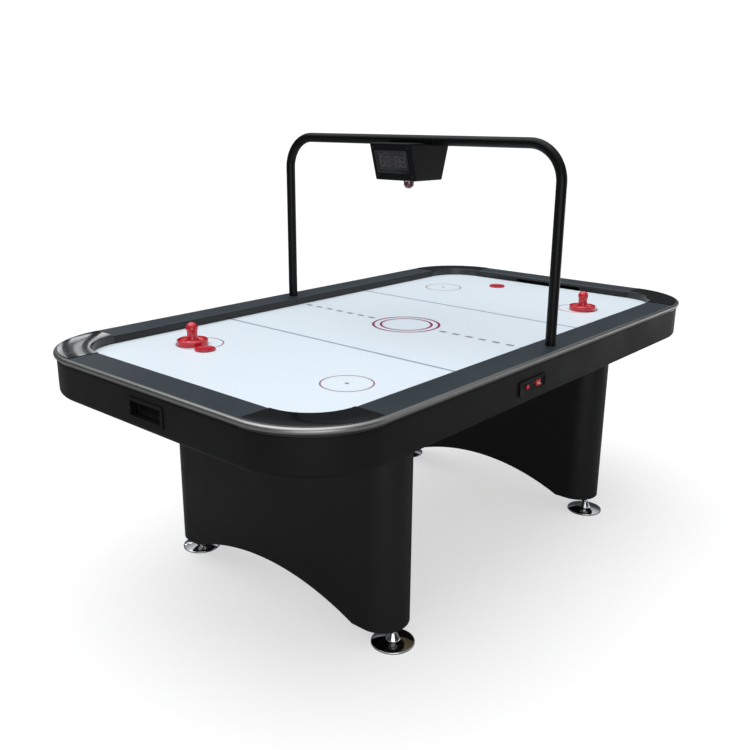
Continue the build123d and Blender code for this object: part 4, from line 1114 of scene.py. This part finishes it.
def add_scorer():
    """Housing; on each leaning face digits, a frame and four screws; a lamp hangs below."""
    smooth_shell("scorer_housing")
    low, high = box("scorer_lenses")
    house_floor = box("scorer_housing")[0][2]
    lens_half = (high[1] - low[1]) / 2
    lean = math.atan2(SCORER_SLOPE, SCORER_HEIGHT)
    face_reach = high[0] - LENS_HEIGHT / 2 * math.sin(lean)
    for name, end in ENDS.items():
        normal = Vector((end * math.cos(lean), 0, -math.sin(lean)))
        across = Vector((0, end, 0))
        up = normal.cross(across)
        turn = Matrix((across, up, normal)).transposed()
        middle = Vector((end * face_reach, 0, (low[2] + high[2]) / 2 - math.sin(lean) * MM))
        bars = [bar for x in DIGIT_PLACES for bar in digit(x)]
        bars += [score_dot((0.0, y)) for y in (-DOT_RISE, DOT_RISE)]
        behind = middle - normal * DIGIT_DEPTH
        digits = [tilted(bar, turn, behind) for bar in bars]
        make_piece(f"{name}_score_digits", digits, "digit_plastic", SEGMENT_GREY)
        outer, inner = oblong(FRAME_HALF, 4 * MM), oblong(WINDOW_HALF, 2 * MM)
        rings = [
            (outer, -FRAME_SINK), (outer, FRAME_STANDOFF), (inner, FRAME_STANDOFF), (inner, -FRAME_SINK)
        ]
        grid = np.stack([np.column_stack([loop, np.full(len(loop), z)]) for loop, z in rings])
        bezel = tilted(grid_patch(grid, rows_join=True, capped=False), turn, middle)
        make_piece(f"{name}_display_bezel", [bezel], "scorer_plastic", MATERIALS["cap_plastic"])
        heads = [
            screw_head(middle + across * x * lens_half * SCORER_SCREW_SPREAD + up * y, normal)
            for x in (-1, 1) for y in (-SCORER_SCREW_RISE, SCORER_SCREW_RISE)
        ]
        make_piece(f"{name}_scorer_screws", heads, "bolt_steel", SCREW_BLACK, crease=SCREW_CREASE)
    lamp_low, lamp_high = box("scorer_lamp")
    wide = (lamp_high[0] - lamp_low[0]) / 2
    dome = wide - LAMP_RIM
    skin = np.concatenate([
        arc_points((0, lamp_low[2] + dome), dome, -90, 0, 20),
        [(dome, house_floor - 4 * MM), (0, house_floor - 4 * MM)],
    ])
    make_piece("scorer_lamp_dome", [turned(skin, steps=64)], "lamp_plastic")
    collar = rounded(
        [(0, house_floor - COLLAR_DEPTH), (wide, house_floor - COLLAR_DEPTH), (wide, house_floor),
         (COLLAR_BORE, house_floor), (COLLAR_BORE, lamp_high[2]), (0, lamp_high[2])],
        [0, 1.2 * MM, 0.3 * MM, 0, 0, 0], 6
    )
    make_piece("scorer_lamp_collar", [turned(collar, steps=64)], "foot_chrome", replaces=("scorer_lamp",))


# ---- control panel

PANEL_FLOOR = 3 * MM
PANEL_SCREW_INSET = 3.6 * MM
INDICATOR_RADIUS = 1.5 * MM
INDICATOR_RISE = 5 * MM
INDICATOR_PLACES = (-8 * MM, 0.0, 8 * MM)


def add_control_panel():
    """Panel, rocker, key and jack, with four screws and a row of three small domed indicators."""
    for node in ("control_panel", "power_switch", "reset_button", "power_jack"):
        smooth_shell(node)
    low, high = box("control_panel")
    middle = (low + high) / 2
    reach = high - middle - PANEL_SCREW_INSET
    heads = [
        screw_head((middle[0] + x * reach[0], low[1], middle[2] + z * reach[2]), (0, -1, 0))
        for x in (-1, 1) for z in (-1, 1)
    ]
    make_piece("control_panel_screws", heads, "bolt_steel", SCREW_BLACK, crease=SCREW_CREASE)
    dome = arc_points((0, 0), INDICATOR_RADIUS, 0, 90, 8)
    lamp = turned([(0, -1 * MM), (INDICATOR_RADIUS, -1 * MM), *dome], steps=32)
    turn = Vector((0, -1, 0)).to_track_quat("Z", "Y").to_matrix()
    lamps = [
        tilted(lamp, turn, (middle[0] + x, low[1] + PANEL_FLOOR, middle[2] + INDICATOR_RISE))
        for x in INDICATOR_PLACES
    ]
    make_piece("panel_indicators", lamps, "switch_red", LED_RED)


# ---- strikers and pucks

STRIKER_RIM = 17 * MM
STRIKER_EDGE = 3 * MM
KNOB_RADIUS = 18.5 * MM
BASE_ROUND = 1.5 * MM
PUCK_RIM = 5 * MM
PUCK_DISH = 0.5 * MM
PUCK_ROUND = 1.5 * MM


def add_strikers():
    """Strikers: rolled rim, dished base and domed grip, turned about an upright axis."""
    rim, knob, edge = STRIKER_RIM, KNOB_RADIUS, STRIKER_EDGE
    for name in ("left_striker", "right_striker"):
        low, high = box(name)
        radius, height = (high[0] - low[0]) / 2, high[2] - low[2]
        knob_z = height - knob
        dish = [
            (radius - 2 * edge, rim - edge), (radius * 0.8, rim * 0.35), (26 * MM, rim * 0.5),
            (20.5 * MM, rim * 0.8),
        ]
        neck = [
            (20.5 * MM, rim * 0.8), (17 * MM, rim * 1.1), (15.6 * MM, rim * 1.5),
            (16.2 * MM, knob_z - 12 * MM),
        ]
        swell = [
            (16.3 * MM, knob_z - 11.5 * MM), (16.8 * MM, knob_z - 6 * MM), (knob, knob_z - 6 * MM),
            (knob, knob_z),
        ]
        profile = np.concatenate([
            [(0, 4 * MM), (radius * 0.78, 4 * MM), (radius * 0.8, 3.4 * MM), (radius * 0.8, 0.4 * MM)],
            [(radius * 0.81, 0), (radius - BASE_ROUND, 0)],
            arc_points((radius - BASE_ROUND, BASE_ROUND), BASE_ROUND, -90, 0, 6),
            arc_points((radius - edge, rim - edge), edge, 0, 180, 18),
            bezier(*dish),
            bezier(*neck),
            bezier(*swell),
            arc_points((0, knob_z), knob, 0, 90, 24),
        ])
        x, y, _ = centre(name)
        moulding = turned(profile, (x, y, low[2]), 112)
        make_piece(f"{name}_moulding", [moulding], "striker_red", replaces=(name,), crease=40)


def add_pucks():
    """Pucks: a thin disc with rounded edges and a shallow dish in either face, turned about an upright
    axis."""
    for name in ("left_puck", "right_puck"):
        low, high = box(name)
        radius, half = (high[0] - low[0]) / 2, (high[2] - low[2]) / 2
        dish = [
            (0, half - PUCK_DISH), (radius - PUCK_RIM - 1 * MM, half - PUCK_DISH), (radius - PUCK_RIM, half)
        ]
        edge = arc_points((radius - PUCK_ROUND, half - PUCK_ROUND), PUCK_ROUND, 90, 0, 8)
        upper = np.concatenate([dish, edge])
        lower = (upper * np.array([1, -1]))[::-1]
        profile = np.concatenate([upper, lower]) + np.array([0, half])
        x, y, _ = centre(name)
        make_piece(f"{name}_moulding", [turned(profile, (x, y, low[2]), 96)], "puck_red", replaces=(name,))


# ---- what stays as it is, and the floor

ROUND_PARTS = [
    "blower_housing", "blower_grille", "blower_motor", "blower_impeller", "leg_bolts", "leveller_inserts",
    "arch_sockets", "arch_sleeve",
]
ROUND_PARTS += [f"{end}_leg_{part}" for end in ENDS for part in ("outer_panel", "inner_panel")]
FLOOR_TONE = (0.42, 0.42, 0.42, 1.0)
FLOOR_BOUNCE = (0.3, 0.3, 0.305, 1.0)
FLOOR_GLOW = 0.58


def dress_frame():
    """Every part of the frame gets its finish, and round ones among those still shown get smooth
    shading."""
    for name, node in NODES.items():
        node.data.materials.clear()
        node.data.materials.append(MATERIALS[SLOT_OF[name]])
    for name in ROUND_PARTS:
        smooth_shell(name)
    for end in ENDS:
        smooth_shell(f"{end}_leg_foot_blocks", "leg_board")


def add_floor():
    """White sweep under the table; in reflections and bounced light it counts as a mid grey."""
    material, tree, shader, place = start_material(
        "studio_floor", Specular_IOR_Level=0.0, Emission_Strength=FLOOR_GLOW
    )
    tone = use_group(tree, "drift", place, Colour=FLOOR_TONE, Amount=0.01, Scale=0.4)["Colour"]
    rays = tree.nodes.new("ShaderNodeLightPath")
    seen = mix_colour(tree, rays.outputs["Is Camera Ray"], FLOOR_BOUNCE, tone)
    tree.links.new(seen, shader.inputs["Base Color"])
    glow = mix_colour(tree, rays.outputs["Is Camera Ray"], (0.0, 0.0, 0.0, 1.0), (1.0, 1.0, 1.0, 1.0))
    tree.links.new(glow, shader.inputs["Emission Color"])
    rough = use_group(tree, "smudges", place, Clean=0.8, Dulled=0.9)["Roughness"]
    tree.links.new(rough, shader.inputs["Roughness"])
    mesh = bpy.data.meshes.new("studio_floor")
    corners = [(x * FLOOR_HALF, y * FLOOR_HALF, 0) for x, y in ((-1, -1), (1, -1), (1, 1), (-1, 1))]
    mesh.from_pydata(corners, [], [(0, 1, 2, 3)])
    floor = bpy.data.objects.new("studio_floor", mesh)
    bpy.context.scene.collection.objects.link(floor)
    mesh.materials.append(material)


add_camera()
add_studio()
add_floor()
dress_frame()
add_markings()
add_rails()
add_skirt()
add_goal_ends()
add_legs()
add_levellers()
add_arch()
add_scorer()
add_control_panel()
add_strikers()
add_pucks()
